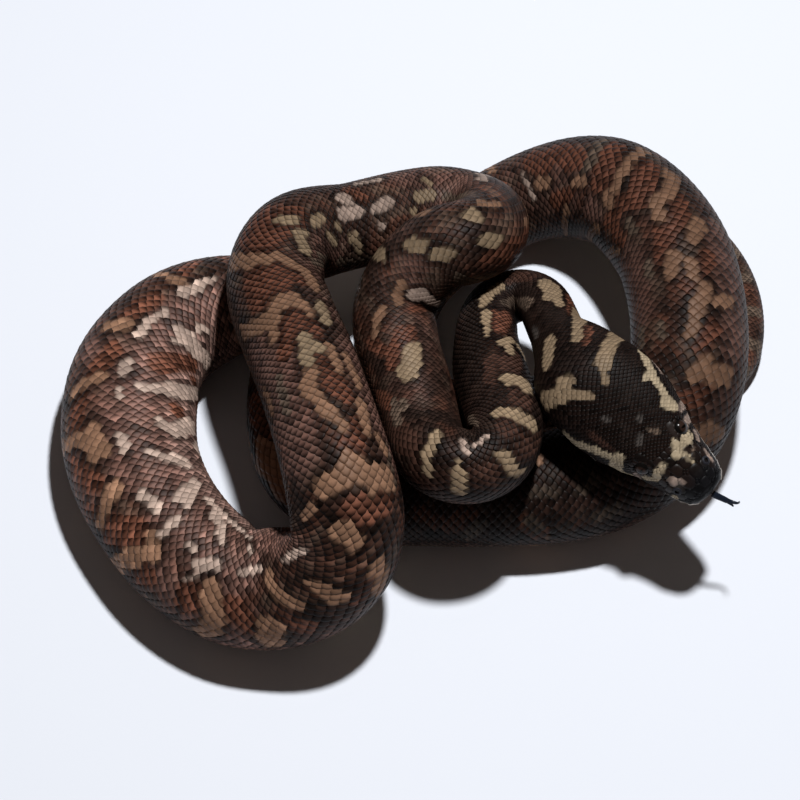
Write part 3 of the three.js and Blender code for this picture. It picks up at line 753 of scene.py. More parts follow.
@dataclass
class Markings:
    """Colour of the skin at any place: one source for the skin and every scale of the coat.

    A cell is the length and the width of one cell of noise.
    """

    form: Form
    seed: int = 7
    ragged: float = 1.3
    rim: float = 3.2
    rim_darkness: float = 0.72
    grain_cell: tuple[float, float] = (2.6, 2.4)
    patch_cell: tuple[float, float] = (9.0, 7.0)
    broad_cell: tuple[float, float] = (34.0, 20.0)
    mottle_cell: tuple[float, float] = (5.2, 4.6)
    blotch_cell: tuple[float, float] = (11.0, 8.0)
    rust_cell: tuple[float, float] = (14.0, 10.0)
    speckled_from: tuple[float, float] = (500.0, 580.0)
    speckled_to: tuple[float, float] = (760.0, 820.0)
    more_speckle: float = 0.8

    def tone(self, distance: np.ndarray, share: np.ndarray) -> tuple[np.ndarray, np.ndarray]:
        """Pigment and darkness of the scale's hind tip at each place.

        Args:
            distance: Distance behind the snout.
            share: Share of the girth from the middle of the belly.

        Returns:
            Linear colours, and how dark each tip is from 0 to 1.
        """
        shape = distance.shape
        site = self._site(distance.ravel(), share.ravel())
        colour, tip = self._ground(site), np.full(site.along.shape, 0.9)
        self._lay_noise_blotches(colour, tip, site)
        ragged = self.ragged * (0.35 + 0.65 * smooth(-10.0, 60.0, site.along))
        swell = 0.7 * smooth(200.0, 420.0, site.along)
        snout = 1.0 - smooth(9.0, 13.0, distance.ravel() + 2.0 * site.grain)
        self._lay(colour, Pigment.SNOUT.light, snout * 0.9)
        # Lightness of the blotches along the body; from 860 to 1005 behind the nape it is painted shade on
        # the strand under the head.
        shade = eased(LIGHTNESS_AND_PAINTED_SHADE_MM, site.along, 2)[:, None]
        for pigment, strokes in STROKES_MM:
            gap = self._gap(np.array(strokes, float), site)
            gap += ragged * (0.6 * site.grain + 0.4 * site.patchy)
            gap -= swell * (0.3 if pigment is Pigment.PALE else 1.0)
            edge = SOFT_EDGES.get(pigment, Edge())
            inside = edge.cover * (1.0 - smooth(edge.inner, edge.outer, gap))
            if pigment in BLOTCHES:
                rim = (1.0 - smooth(0.5, self.rim, gap)) * (1.0 - inside)
                self._lay(colour, Pigment.BLACK.light, rim * self.rim_darkness)
                tip -= 0.6 * tip * inside
            elif pigment is Pigment.RUST:
                tip += (1.0 - tip) * inside
            self._lay(colour, pigment.light * shade, inside)
        belly = smooth(0.40, 0.45, np.abs(site.share - 0.5))
        self._lay(colour, Pigment.BELLY.light, belly * (0.8 + 0.15 * site.grain))
        tip *= 1 - belly
        return colour.reshape(*shape, 3), tip.reshape(shape)

    def speckle(self, distance: np.ndarray) -> np.ndarray:
        """How much one scale differs from the next: most where the animal is thickest.

        Args:
            distance: Distance behind the snout.

        Returns:
            A factor, 1 where scales differ least.
        """
        along = distance - self.form.spine.nape
        thick = smooth(*self.speckled_from, along) * (1.0 - smooth(*self.speckled_to, along))
        return 1.0 + self.more_speckle * thick

    def _site(self, distance: np.ndarray, share: np.ndarray) -> Site:
        """Works out what every layer of colour reads.

        Args:
            distance: Distance behind the snout.
            share: Share of the girth.

        Returns:
            The places with their noise.
        """
        girth = self.form.girth_at(distance)
        across = (share - 0.5) * girth
        grain = self._noise(distance, across, self.grain_cell, 1)
        patchy = self._noise(distance, across, self.patch_cell, 0)
        broad = self._noise(distance, across, self.broad_cell, 2)
        return Site(distance - self.form.spine.nape, share, girth, across, grain, patchy, broad)

    def _noise(
        self, place: np.ndarray, across: np.ndarray, cell: tuple[float, float], layer: int
    ) -> np.ndarray:
        """Noise of one layer, in cells of the given length and width."""
        return value_noise(place / cell[0], across / cell[1], self.seed + layer)

    def _ground(self, site: Site) -> np.ndarray:
        """Ground colour: near black on head and neck, brown with rusty and mauve drifts farther back.

        Args:
            site: The places.

        Returns:
            Linear colours.
        """
        colour = np.broadcast_to(Pigment.BROWN.light, site.along.shape + (3,)).copy()
        self._lay(colour, Pigment.MAUVE.light, 0.45 * smooth(0.0, 0.7, site.broad))
        self._lay(colour, Pigment.RUST.light, 0.5 * smooth(0.1, 0.6, site.patchy - 0.4 * site.broad))
        dark = 1.0 - smooth(30.0, 330.0, site.along + 40 * site.patchy)
        black = 1.0 - smooth(-10.0, 60.0, site.along + 10 * site.patchy)
        self._lay(colour, Pigment.DARK.light, 0.85 * dark)
        self._lay(colour, Pigment.BLACK.light, 0.75 * black)
        mottle = self._noise(site.along, site.across, self.mottle_cell, 5)
        self._lay(colour, Pigment.DARK.light, 0.6 * smooth(0.05, 0.5, mottle))
        self._lay(colour, Pigment.DULL_AND_SHADED_TAN.light, 0.4 * smooth(0.15, 0.6, -mottle) * (1 - dark))
        self._lay(colour, Pigment.BLACK.light, 0.6 * smooth(0.25, 0.8, site.grain))
        # Lightness of the ground along the body; from 860 to 1005 behind the nape it is painted shade on the
        # strand under the head.
        colour *= eased(LIGHTNESS_AND_PAINTED_SHADE_MM, site.along, 1)[:, None]
        # The lower flanks are painted paler: partly their own tone, partly a painted sheen on scales seen
        # edge-on.
        flank = smooth(0.24, 0.34, np.abs(site.share - 0.5)) * smooth(20.0, 80.0, site.along)
        self._lay(colour, Pigment.FLANK_AND_SHEEN.light, 0.6 * flank * (1 - 0.8 * dark))
        return colour

    def _lay_noise_blotches(self, colour: np.ndarray, tip: np.ndarray, site: Site) -> None:
        """Lays blotches and rusty drifts from noise wherever no strokes are laid.

        Args:
            colour: Colours so far, which it changes.
            tip: Darkness of the tips, which it changes.
            site: The places.
        """
        stroked = np.zeros(site.along.shape)
        percent = site.share * 100
        for start, end, low, high in STROKED_MM:
            inside = smooth(start - 2, start + 2, site.along) * (1 - smooth(end - 2, end + 2, site.along))
            inside *= smooth(low - 1, low + 1, percent) * (1 - smooth(high - 1, high + 1, percent))
            stroked = np.maximum(stroked, inside)
        length, width = self.blotch_cell
        wobble = 0.3 * site.grain
        wave = value_noise(site.along / length + wobble, site.across / width + wobble, self.seed + 3)
        wave = wave + 0.1 * site.grain - 0.9 * stroked
        rust = self._noise(site.along, site.across, self.rust_cell, 4)
        rusty = smooth(0.1, 0.35, rust - stroked) * smooth(200, 300, site.along)
        blotch = smooth(0.30, 0.36, wave)
        self._lay(colour, Pigment.RUST.light, 0.8 * rusty)
        self._lay(colour, Pigment.BLACK.light, 0.5 * smooth(0.12, 0.28, wave) * (1 - blotch))
        self._lay(colour, Pigment.TAN.light, blotch)
        tip -= 0.75 * tip * blotch

    @staticmethod
    def _gap(strokes: np.ndarray, site: Site) -> np.ndarray:
        """Distance from each place to the edge of the nearest stroke: to its line, less half its width.

        Args:
            strokes: The strokes of one colour.
            site: The places.

        Returns:
            The distance, below 0 inside a stroke.
        """
        nearest = np.full(site.along.shape, 99.0)
        for s1, q1, s2, q2, half in strokes:
            close = np.abs(site.along - 0.5 * (s1 + s2)) < 0.5 * abs(s2 - s1) + half + 9
            girth = site.girth[close]
            x, y = site.along[close] - s1, (site.share[close] * 100 - q1) * girth / 100
            dx, dy = s2 - s1, (q2 - q1) * girth / 100
            t = np.clip((x * dx + y * dy) / np.maximum(dx * dx + dy * dy, 1e-9), 0.0, 1.0)
            nearest[close] = np.minimum(nearest[close], np.hypot(x - t * dx, y - t * dy) - half)
        return nearest

    @staticmethod
    def _lay(colour: np.ndarray, pigment: np.ndarray, amount: np.ndarray) -> None:
        """Covers the colour so far by a share of another."""
        colour[:] = colour * (1 - amount[..., None]) + pigment * amount[..., None]


# ------------------------------------------------------------------ meshes and finishes


def grid_faces(rows: int, columns: int) -> np.ndarray:
    """Four-sided faces of a tube of rings, pointing outwards where columns run anticlockwise.

    Args:
        rows: Number of rings.
        columns: Points in a ring.

    Returns:
        Four point numbers a row.
    """
    row, column = np.meshgrid(np.arange(rows - 1), np.arange(columns), indexing="ij")
    a = row * columns + column
    b = row * columns + (column + 1) % columns
    return np.stack([a, a + columns, b + columns, b], axis=-1).reshape(-1, 4)


def closed_tube_faces(rows: int, columns: int) -> np.ndarray:
    """Triangles of a tube of rings whose ends close on two more points: the first end's, then the last's.

    Args:
        rows: Number of rings.
        columns: Points in a ring.

    Returns:
        Three point numbers a row.
    """
    quads = grid_faces(rows, columns)
    ring = np.arange(columns)
    after = (ring + 1) % columns
    hub, last = rows * columns, (rows - 1) * columns
    front = np.stack([np.full_like(ring, hub), ring, after], axis=1)
    back = np.stack([np.full_like(ring, hub + 1), last + after, last + ring], axis=1)
    return np.concatenate([quads[:, [0, 1, 2]], quads[:, [0, 2, 3]], front, back])


def add_mesh(name: str, points: np.ndarray, faces: np.ndarray) -> bpy.types.Object:
    """A mesh object at the origin from points in millimetres and faces of equal size.

    Args:
        name: Name of the piece.
        points: Places, in millimetres.
        faces: Rows of point numbers, three or four a row.

    Returns:
        The new object, smooth shaded.
    """
    mesh = bpy.data.meshes.new(name)
    flat = np.ascontiguousarray(points.reshape(-1, 3) * MM, dtype=np.float32)
    sides = faces.shape[1]
    mesh.vertices.add(len(flat))
    mesh.vertices.foreach_set("co", flat.ravel())
    mesh.loops.add(faces.size)
    mesh.loops.foreach_set("vertex_index", faces.astype(np.int32).ravel())
    mesh.polygons.add(len(faces))
    mesh.polygons.foreach_set("loop_start", np.arange(0, faces.size, sides, dtype=np.int32))
    mesh.polygons.foreach_set("use_smooth", np.ones(len(faces), dtype=bool))
    mesh.update(calc_edges=True)
    mesh.validate()
    piece = bpy.data.objects.new(name, mesh)
    bpy.context.scene.collection.objects.link(piece)
    return piece


def set_colours(piece: bpy.types.Object, colours: np.ndarray) -> None:
    """Writes a colour for every point into the attribute that the finishes read.

    Args:
        piece: The object.
        colours: Linear colours in the order of its points.
    """
    layer = piece.data.color_attributes.new(PIGMENT_LAYER, "FLOAT_COLOR", "POINT")
    rgba = np.ones((len(piece.data.vertices), 4), dtype=np.float32)
    rgba[:, :3] = np.clip(colours.reshape(-1, 3), 0.0, 1.0)
    layer.data.foreach_set("color", rgba.ravel())


def set_patches(piece: bpy.types.Object, patch: np.ndarray) -> None:
    """Writes the unwrap of every point into the map that the bake reads.

    Args:
        piece: The object.
        patch: Places on the map in the order of its points.
    """
    layer = piece.data.uv_layers.new(name="OFBake")
    corner = np.empty(len(piece.data.loops), dtype=np.int32)
    piece.data.loops.foreach_get("vertex_index", corner)
    layer.data.foreach_set("uv", patch.reshape(-1, 2)[corner].astype(np.float32).ravel())


def painted_material(name: str) -> tuple[bpy.types.Material, bpy.types.ShaderNode, bpy.types.NodeSocket]:
    """A new material that can read the colours written into a mesh.

    Args:
        name: Name of the material.

    Returns:
        The material, its shader, and the socket that gives the mesh's colour.
    """
    material = bpy.data.materials.new(name)
    material.use_nodes = True
    nodes = material.node_tree.nodes
    pigment = nodes.new("ShaderNodeVertexColor")
    pigment.layer_name = PIGMENT_LAYER
    return material, nodes["Principled BSDF"], pigment.outputs["Color"]


@dataclass(frozen=True)
class ScaleFinish:
    """Satin horn of the scales: the mesh's colour, a fine grain and a soft gloss, polished in spots."""

    name: str = "scale_horn"
    roughness: float = 0.42
    polish: float = 0.08
    wear: float = 0.12
    specular: float = 0.07
    grain_size: float = 1400.0
    grain_detail: float = 3.0
    grain_depth: float = 0.12
    grain_rise: float = 0.0002
    uneven: float = 0.18

    def make(self) -> bpy.types.Material:
        """Builds the material: one cloud of noise shades the colour, the roughness and the bump.

        Returns:
            The material.
        """
        material, shader, pigment = painted_material(self.name)
        nodes, links = material.node_tree.nodes, material.node_tree.links
        place = nodes.new("ShaderNodeTexCoord")
        cloud = nodes.new("ShaderNodeTexNoise")
        cloud.inputs["Scale"].default_value = self.grain_size
        cloud.inputs["Detail"].default_value = self.grain_detail
        links.new(place.outputs["Object"], cloud.inputs["Vector"])
        shade = nodes.new("ShaderNodeMapRange")
        shade.inputs["To Min"].default_value = 1.0 - self.uneven
        shade.inputs["To Max"].default_value = 1.0 + self.uneven
        links.new(cloud.outputs["Fac"], shade.inputs["Value"])
        tinted = nodes.new("ShaderNodeMix")
        tinted.data_type = "RGBA"
        tinted.blend_type = "MULTIPLY"
        tinted.inputs["Factor"].default_value = 1.0
        links.new(pigment, tinted.inputs["A"])
        links.new(shade.outputs["Result"], tinted.inputs["B"])
        links.new(tinted.outputs["Result"], shader.inputs["Base Color"])
        rough = nodes.new("ShaderNodeMapRange")
        rough.inputs["To Min"].default_value = self.roughness - self.polish
        rough.inputs["To Max"].default_value = self.roughness + self.wear
        links.new(cloud.outputs["Fac"], rough.inputs["Value"])
        links.new(rough.outputs["Result"], shader.inputs["Roughness"])
        bump = nodes.new("ShaderNodeBump")
        bump.inputs["Strength"].default_value = self.grain_depth
        bump.inputs["Distance"].default_value = self.grain_rise
        links.new(cloud.outputs["Fac"], bump.inputs["Height"])
        links.new(bump.outputs["Normal"], shader.inputs["Normal"])
        shader.inputs["Specular IOR Level"].default_value = self.specular
        return material


@dataclass(frozen=True)
class WetFinish:
    """A clear wet film over painted colour, for eyes and tongue."""

    name: str
    roughness: float = 0.2
    specular: float = 0.16
    film: float = 0.05
    film_roughness: float = 0.06

    def make(self) -> bpy.types.Material:
        """Builds the material: the mesh's colour under an even film.

        Returns:
            The material.
        """
        material, shader, pigment = painted_material(self.name)
        material.node_tree.links.new(pigment, shader.inputs["Base Color"])
        shader.inputs["Roughness"].default_value = self.roughness
        shader.inputs["Specular IOR Level"].default_value = self.specular
        shader.inputs["Coat Weight"].default_value = self.film
        shader.inputs["Coat Roughness"].default_value = self.film_roughness
        return material


# ------------------------------------------------------------------ skin and coat


@dataclass
class Skin:
    """One skin over head and body, a coat's depth inside the scales, painted darker as shade in their gaps.
    """

    form: Form
    markings: Markings
    depth: float = 0.45
    painted_gap_shade: float = 0.45
    row_step: float = 2.4
    head_step: float = 0.7
    columns: int = 96
    floor_gap: float = 0.02
    nose_cap: float = 0.6
    tail_cap: float = 0.4

    def build(self, finish: bpy.types.Material) -> bpy.types.Object:
        """Makes the skin: rings along the spine, close on the head, closed by a point at each end.

        Args:
            finish: Its material.

        Returns:
            The new piece.
        """
        spine = self.form.spine
        head = np.arange(0.0, spine.nape, self.head_step)
        body = np.linspace(spine.nape, spine.length, int((spine.length - spine.nape) / self.row_step))
        rows = np.concatenate([head, body])
        distance, around = np.meshgrid(rows, np.arange(self.columns) / self.columns, indexing="ij")
        points, normals = self.form.read(distance, around)
        depth = self.depth * smooth(0.0, 6.0, distance) * smooth(spine.length, spine.length - 12, distance)
        points = points - normals * depth[..., None]
        points[..., 2] = np.maximum(points[..., 2], self.floor_gap)
        ends = np.stack([points[0].mean(axis=0), points[-1].mean(axis=0)])
        ends[0] -= spine.way[0] * self.nose_cap
        ends[1] += spine.way[-1] * self.tail_cap
        faces = closed_tube_faces(len(rows), self.columns)
        piece = add_mesh("skin", np.concatenate([points.reshape(-1, 3), ends]), faces)
        colours, _ = self.markings.tone(distance, around)
        ends_colour = np.broadcast_to(Pigment.BLACK.light, (2, 3))
        # The skin takes the markings painted darker, a painted shade in the gaps between the scales.
        set_colours(piece, np.concatenate([colours.reshape(-1, 3) * self.painted_gap_shade, ends_colour]))
        piece.data.materials.append(finish)
        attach(piece, "root")
        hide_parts(*FLESH_NODES)
        return piece


@dataclass(frozen=True)
class ScaleShape:
    """One scale: a rounded diamond or plate, sunk in front, with its hind tip laid over the next ones.

    Attributes:
        sides: Points round it.
        overlap: How far it reaches past its half sizes.
        power: Squareness of its outline.
        rim_size: Size of its upper rim, as a share of its outline.
        crown_size: Size of the ring round its crown.
        sunk: Depth of its outline below the rim.
        edge: Height of the rim.
        dome: Height of the crown.
        tip_rise: How far the tip rises, and the front sinks.
        pit: Depth of a pit in its middle.
        groove: Painted shade of its sunk outline, from black at 0 to its own colour at 1.
    """

    sides: int = 8
    overlap: float = 1.15
    power: float = 1.4
    rim_size: float = 0.93
    crown_size: float = 0.55
    sunk: float = 0.34
    edge: float = -0.03
    dome: float = 0.08
    tip_rise: float = 0.2
    pit: float = 0.0
    groove: float = 0.6

    def rings(self) -> tuple[np.ndarray, np.ndarray, np.ndarray, np.ndarray]:
        """Points of the scale: |x|^power + |y|^power = 1 for the outline, and smaller rings inside it.

        Returns:
            Along, across, lift and ring number of each point: outline, rim, crown, middle.
        """
        turn = 2 * math.pi * np.arange(self.sides) / self.sides
        size = (np.abs(np.cos(turn)) ** self.power + np.abs(np.sin(turn)) ** self.power) ** (-1 / self.power)
        x, y = np.cos(turn) * size, np.sin(turn) * size
        along = np.concatenate([x, self.rim_size * x, self.crown_size * x, [0.0]]) * self.overlap
        across = np.concatenate([y, self.rim_size * y, self.crown_size * y, [0.0]]) * self.overlap
        ring = np.repeat([0, 1, 2, 3], [self.sides, self.sides, self.sides, 1])
        base = np.array([-self.sunk, self.edge, 0.75 * self.dome, self.dome - self.pit])[ring]
        tilt = self.tip_rise * np.clip(along, -1.0, 1.0)
        lift = base + np.where(ring > 0, tilt, np.where(along > 0, 0.6 * tilt, tilt))
        return along, across, lift, ring

    def faces(self) -> np.ndarray:
        """Triangles between the rings, pointing outwards.

        Returns:
            Three point numbers a row.
        """
        k = np.arange(self.sides)
        n = (k + 1) % self.sides
        rows = []
        for ring in range(2):
            a, b = ring * self.sides + k, ring * self.sides + n
            rows.append(np.stack([a, b, b + self.sides], axis=1))
            rows.append(np.stack([a, b + self.sides, a + self.sides], axis=1))
        crown, middle = 2 * self.sides, np.full_like(k, 3 * self.sides)
        rows.append(np.stack([crown + k, crown + n, middle], axis=1))
        return np.concatenate(rows)

    def shades(self) -> np.ndarray:
        """Shade of each ring: painted shade on the sunk outline and rim, a pit painted nearly black, the
        crown lighter.
        """
        return np.array([self.groove, 0.5 + 0.5 * self.groove, 1.12, 0.15 if self.pit else 1.15])


@dataclass
class ScaleBed:
    """Scales of one shape, each given by its place on the skin, its half sizes and its turn.

    Attributes:
        shape: Their shape.
        distance: Distance of each behind the snout.
        share: Share of the girth of each.
        half_along: Half of each one's length.
        half_across: Half of each one's width.
        turn: Turn of each about the way out of the skin.
        lip_flare: How far the mouth edge stands out; it is painted white, a pale margin with painted light on
            it.
        contrast: Darkness of the tips.
        uneven: How much one scale is lighter or darker than the next.
        dark_flecks: Share of the scales that are much darker.
        light_flecks: Share that are much lighter, where the animal is thickest.
        own_colour: How much of a scale's colour is even; the rest follows the markings below each point.
        spill: How far out a point reads those markings, as a share of its way from the scale's middle.
        full_size: Half size at which a scale stands as high as its shape says.
        patch_half: Half the size of its patch of the unwrap.
    """

    shape: ScaleShape
    distance: np.ndarray
    share: np.ndarray
    half_along: np.ndarray
    half_across: np.ndarray
    turn: np.ndarray
    lip_flare: float = 0.0
    contrast: float = 0.9
    uneven: float = 0.26
    dark_flecks: float = 0.12
    light_flecks: float = 0.2
    own_colour: float = 0.4
    spill: float = 0.8
    full_size: float = 1.8
    patch_half: float = 0.0015

    def pick(self, keep: np.ndarray) -> "ScaleBed":
        """The same bed with only the scales that are kept."""
        names = ("distance", "share", "half_along", "half_across", "turn")
        return replace(self, **{name: getattr(self, name)[keep] for name in names})

    def mesh(
        self, form: Form, markings: Markings, chance: np.random.Generator, raise_by: float
    ) -> tuple[np.ndarray, np.ndarray, np.ndarray, np.ndarray]:
        """Lays the scales on the skin.

        Each point of the shape is turned, moved to its scale's place on the skin, and lifted along the
        skin's normal by the shape's lift times the scale's size.

        Args:
            form: The surface they lie on.
            markings: Their colours.
            chance: Where small differences between scales come from.
            raise_by: Height of a scale's own zero above the surface.

        Returns:
            Points, triangles, colours, and the unwrap before it is fitted to the piece.
        """
        along, across, lift, ring = self.shape.rings()
        x = along[None] * self.half_along[:, None]
        y = across[None] * self.half_across[:, None]
        cosine, sine = np.cos(self.turn)[:, None], np.sin(self.turn)[:, None]
        girth = form.girth_at(self.distance)[:, None]
        place = self.distance[:, None] + x * cosine - y * sine
        around = self.share[:, None] + (x * sine + y * cosine) / girth
        points, normals = form.read(np.clip(place, 0.05, form.spine.length - 0.3), around)
        smaller = np.minimum(self.half_across, self.half_along)
        size = np.clip(smaller / self.full_size, 0.3, 1.3)[:, None]
        to_mouth = np.where(self.share < 0.5, -1.0, 1.0)[:, None] * across[None]
        flare = self.lip_flare * np.clip(0.4 + 0.6 * to_mouth, 0.0, 1.0) ** 1.5 * (ring > 0)[None]
        points = points + normals * (lift[None] * size + raise_by + flare)[..., None]
        points[..., 2] = np.maximum(points[..., 2], 0.0)
        faces = self.shape.faces()[None] + (np.arange(len(self.distance)) * len(along))[:, None, None]
        painted = self._paint(markings, chance, place, around)
        if self.lip_flare:
            # The edge towards the mouth is painted white: the lip's own pale margin, with painted light along
            # the rim.
            white = (smooth(-0.35, 0.15, to_mouth) * (ring > 0)[None])[..., None]
            painted = painted * (1 - white) + Pigment.LIP_AND_RIM_LIGHT.light * white
        patch = np.stack([along, across], axis=-1) * self.patch_half / self.shape.overlap
        return points, faces.reshape(-1, 3), painted, patch

    def _paint(
        self, markings: Markings, chance: np.random.Generator, place: np.ndarray, around: np.ndarray
    ) -> np.ndarray:
        """Colours of the points: markings, flecks by chance, painted shade in the groove round and a dark
        hind tip.

        Args:
            markings: The animal's colours.
            chance: Where the differences between scales come from.
            place: Distance of every point behind the snout.
            around: Share of the girth of every point.

        Returns:
            Linear colours, a row for each scale.
        """
        along, _, _, ring = self.shape.rings()
        own, own_tip = markings.tone(self.distance, self.share)
        near, near_tip = markings.tone(
            self.distance[:, None] + self.spill * (place - self.distance[:, None]),
            self.share[:, None] + self.spill * (around - self.share[:, None]),
        )
        colour = self.own_colour * own[:, None] + (1.0 - self.own_colour) * near
        tip = self.own_colour * own_tip[:, None] + (1.0 - self.own_colour) * near_tip
        speckle = markings.speckle(self.distance)
        spread = self.uneven * (0.4 + 0.6 * own_tip) * speckle
        vary = 1.0 + spread * chance.uniform(-1.0, 1.0, len(own))
        fleck = chance.random(len(own))
        vary *= np.where((fleck < self.dark_flecks * speckle) & (own_tip > 0.6), 0.5, 1.0)
        vary *= np.where(fleck > 1.0 - self.light_flecks * (speckle - 1.0), 1.45, 1.0)
        behind = smooth(-0.12, 0.66, along / self.shape.overlap)
        # The ring shades paint shade into each scale's sunk outline and pit; the dark hind tip is the
        # markings' own.
        shade = self.shape.shades()[ring][None] * (1.0 - tip * self.contrast * behind[None])
        return colour * vary[:, None, None] * shade[..., None]


@dataclass
class CoatPiece:
    """One mesh of the coat, joined from beds of scales, between two distances behind the snout."""

    name: str
    slot: str
    start: float
    end: float
    seed: int = 11
    raise_by: float = -0.1

    def build(
        self, form: Form, markings: Markings, beds: list[ScaleBed], finish: bpy.types.Material
    ) -> bpy.types.Object:
        """Joins the beds into one object.

        Its unwrap is distance across and girth up, and each scale is a small patch of it at its own place.

        Args:
            form: The surface they lie on.
            markings: Their colours.
            beds: The scales.
            finish: Their material.

        Returns:
            The new piece.
        """
        chance = np.random.default_rng(self.seed)
        points, faces, colours, unwrap = [], [], [], []
        first = 0
        for bed in beds:
            place, triangles, painted, patch = bed.mesh(form, markings, chance, self.raise_by)
            home = np.stack([(bed.distance - self.start) / (self.end - self.start), bed.share % 1.0], axis=-1)
            home = 0.005 + 0.99 * np.clip(home, 0.0, 1.0)
            points.append(place.reshape(-1, 3))
            faces.append(triangles + first)
            colours.append(painted.reshape(-1, 3))
            unwrap.append((home[:, None, :] + patch[None]).reshape(-1, 2))
            first += len(points[-1])
        piece = add_mesh(self.name, np.concatenate(points), np.concatenate(faces))
        set_colours(piece, np.concatenate(colours))
        set_patches(piece, np.concatenate(unwrap))
        piece.data.materials.append(finish)
        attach(piece, "root")
        return piece


@dataclass
class BodyRows:
    """Slanting rows of scales round a length of body, and the wide plates under it.

    The plates' half width is the share of the girth given by belly, with a little more to overlap.
    """

    form: Form
    start: float
    end: float
    rows_round: int
    shape: ScaleShape = ScaleShape()
    plate: ScaleShape = ScaleShape(sides=16, power=5.0, overlap=1.04, dome=0.04, tip_rise=0.16)
    belly: float = 0.06
    belly_overlap: float = 0.012
    belly_from: float = -6.0
    jitter: float = 0.03
    turn_jitter: float = 0.05
    count_step: float = 0.25

    def _count(self) -> tuple[np.ndarray, np.ndarray]:
        """Counts rows from the snout: the sum of step over pitch.

        Returns:
            Fine places along the whole animal, and how many rows lie before each.
        """
        fine = np.arange(0.0, self.form.spine.length, self.count_step)
        pitch = eased(PITCH_MM, fine - self.form.spine.nape)
        return fine, np.concatenate([[0.0], np.cumsum(self.count_step / pitch)[:-1]])

    def beds(self, chance: np.random.Generator) -> list[ScaleBed]:
        """The back and flanks, each column half a pitch on from the last, and the belly plates.

        Args:
            chance: Where small differences of place and turn come from.

        Returns:
            The bed of small scales and the bed of plates.
        """
        nape = self.form.spine.nape
        fine, count = self._count()
        along, column = np.meshgrid(np.arange(int(count[-1]) + 1), np.arange(self.rows_round), indexing="ij")
        distance = np.interp(along + 0.5 * (column % 2), count, fine)
        share = (column + 0.5) / self.rows_round
        keep = (distance >= self.start) & (distance < self.end)
        keep &= (np.abs(share - 0.5) < 0.5 - self.belly) | (distance < nape + self.belly_from)
        distance, share = distance[keep], share[keep]
        girth = self.form.girth_at(distance)
        pitch = eased(PITCH_MM, distance - nape)
        distance = distance + chance.normal(0.0, self.jitter, len(distance)) * pitch
        share = share + chance.normal(0.0, self.jitter, len(share)) / self.rows_round
        turn = chance.normal(0.0, self.turn_jitter, len(distance))
        back = ScaleBed(self.shape, distance, share, pitch / 2, girth / self.rows_round, turn)
        below = np.interp(np.arange(int(count[-1])) + 0.25, count, fine)
        below = below[(below > nape + self.belly_from) & (below >= self.start) & (below < self.end)]
        size = eased(PITCH_MM, below - nape)
        wide = self.form.girth_at(below) * (self.belly + self.belly_overlap)
        level = np.zeros(len(below))
        return [back, ScaleBed(self.plate, below, level, size / 2, wide, level)]


# ------------------------------------------------------------------ head, eyes, nostrils and tongue


@dataclass(frozen=True)
class Plate:
    """A plate of the head: place behind the snout, way out from the middle of the back, and half sizes."""

    back: float
    out: float
    half_length: float
    half_width: float
    turn_deg: float = 0.0


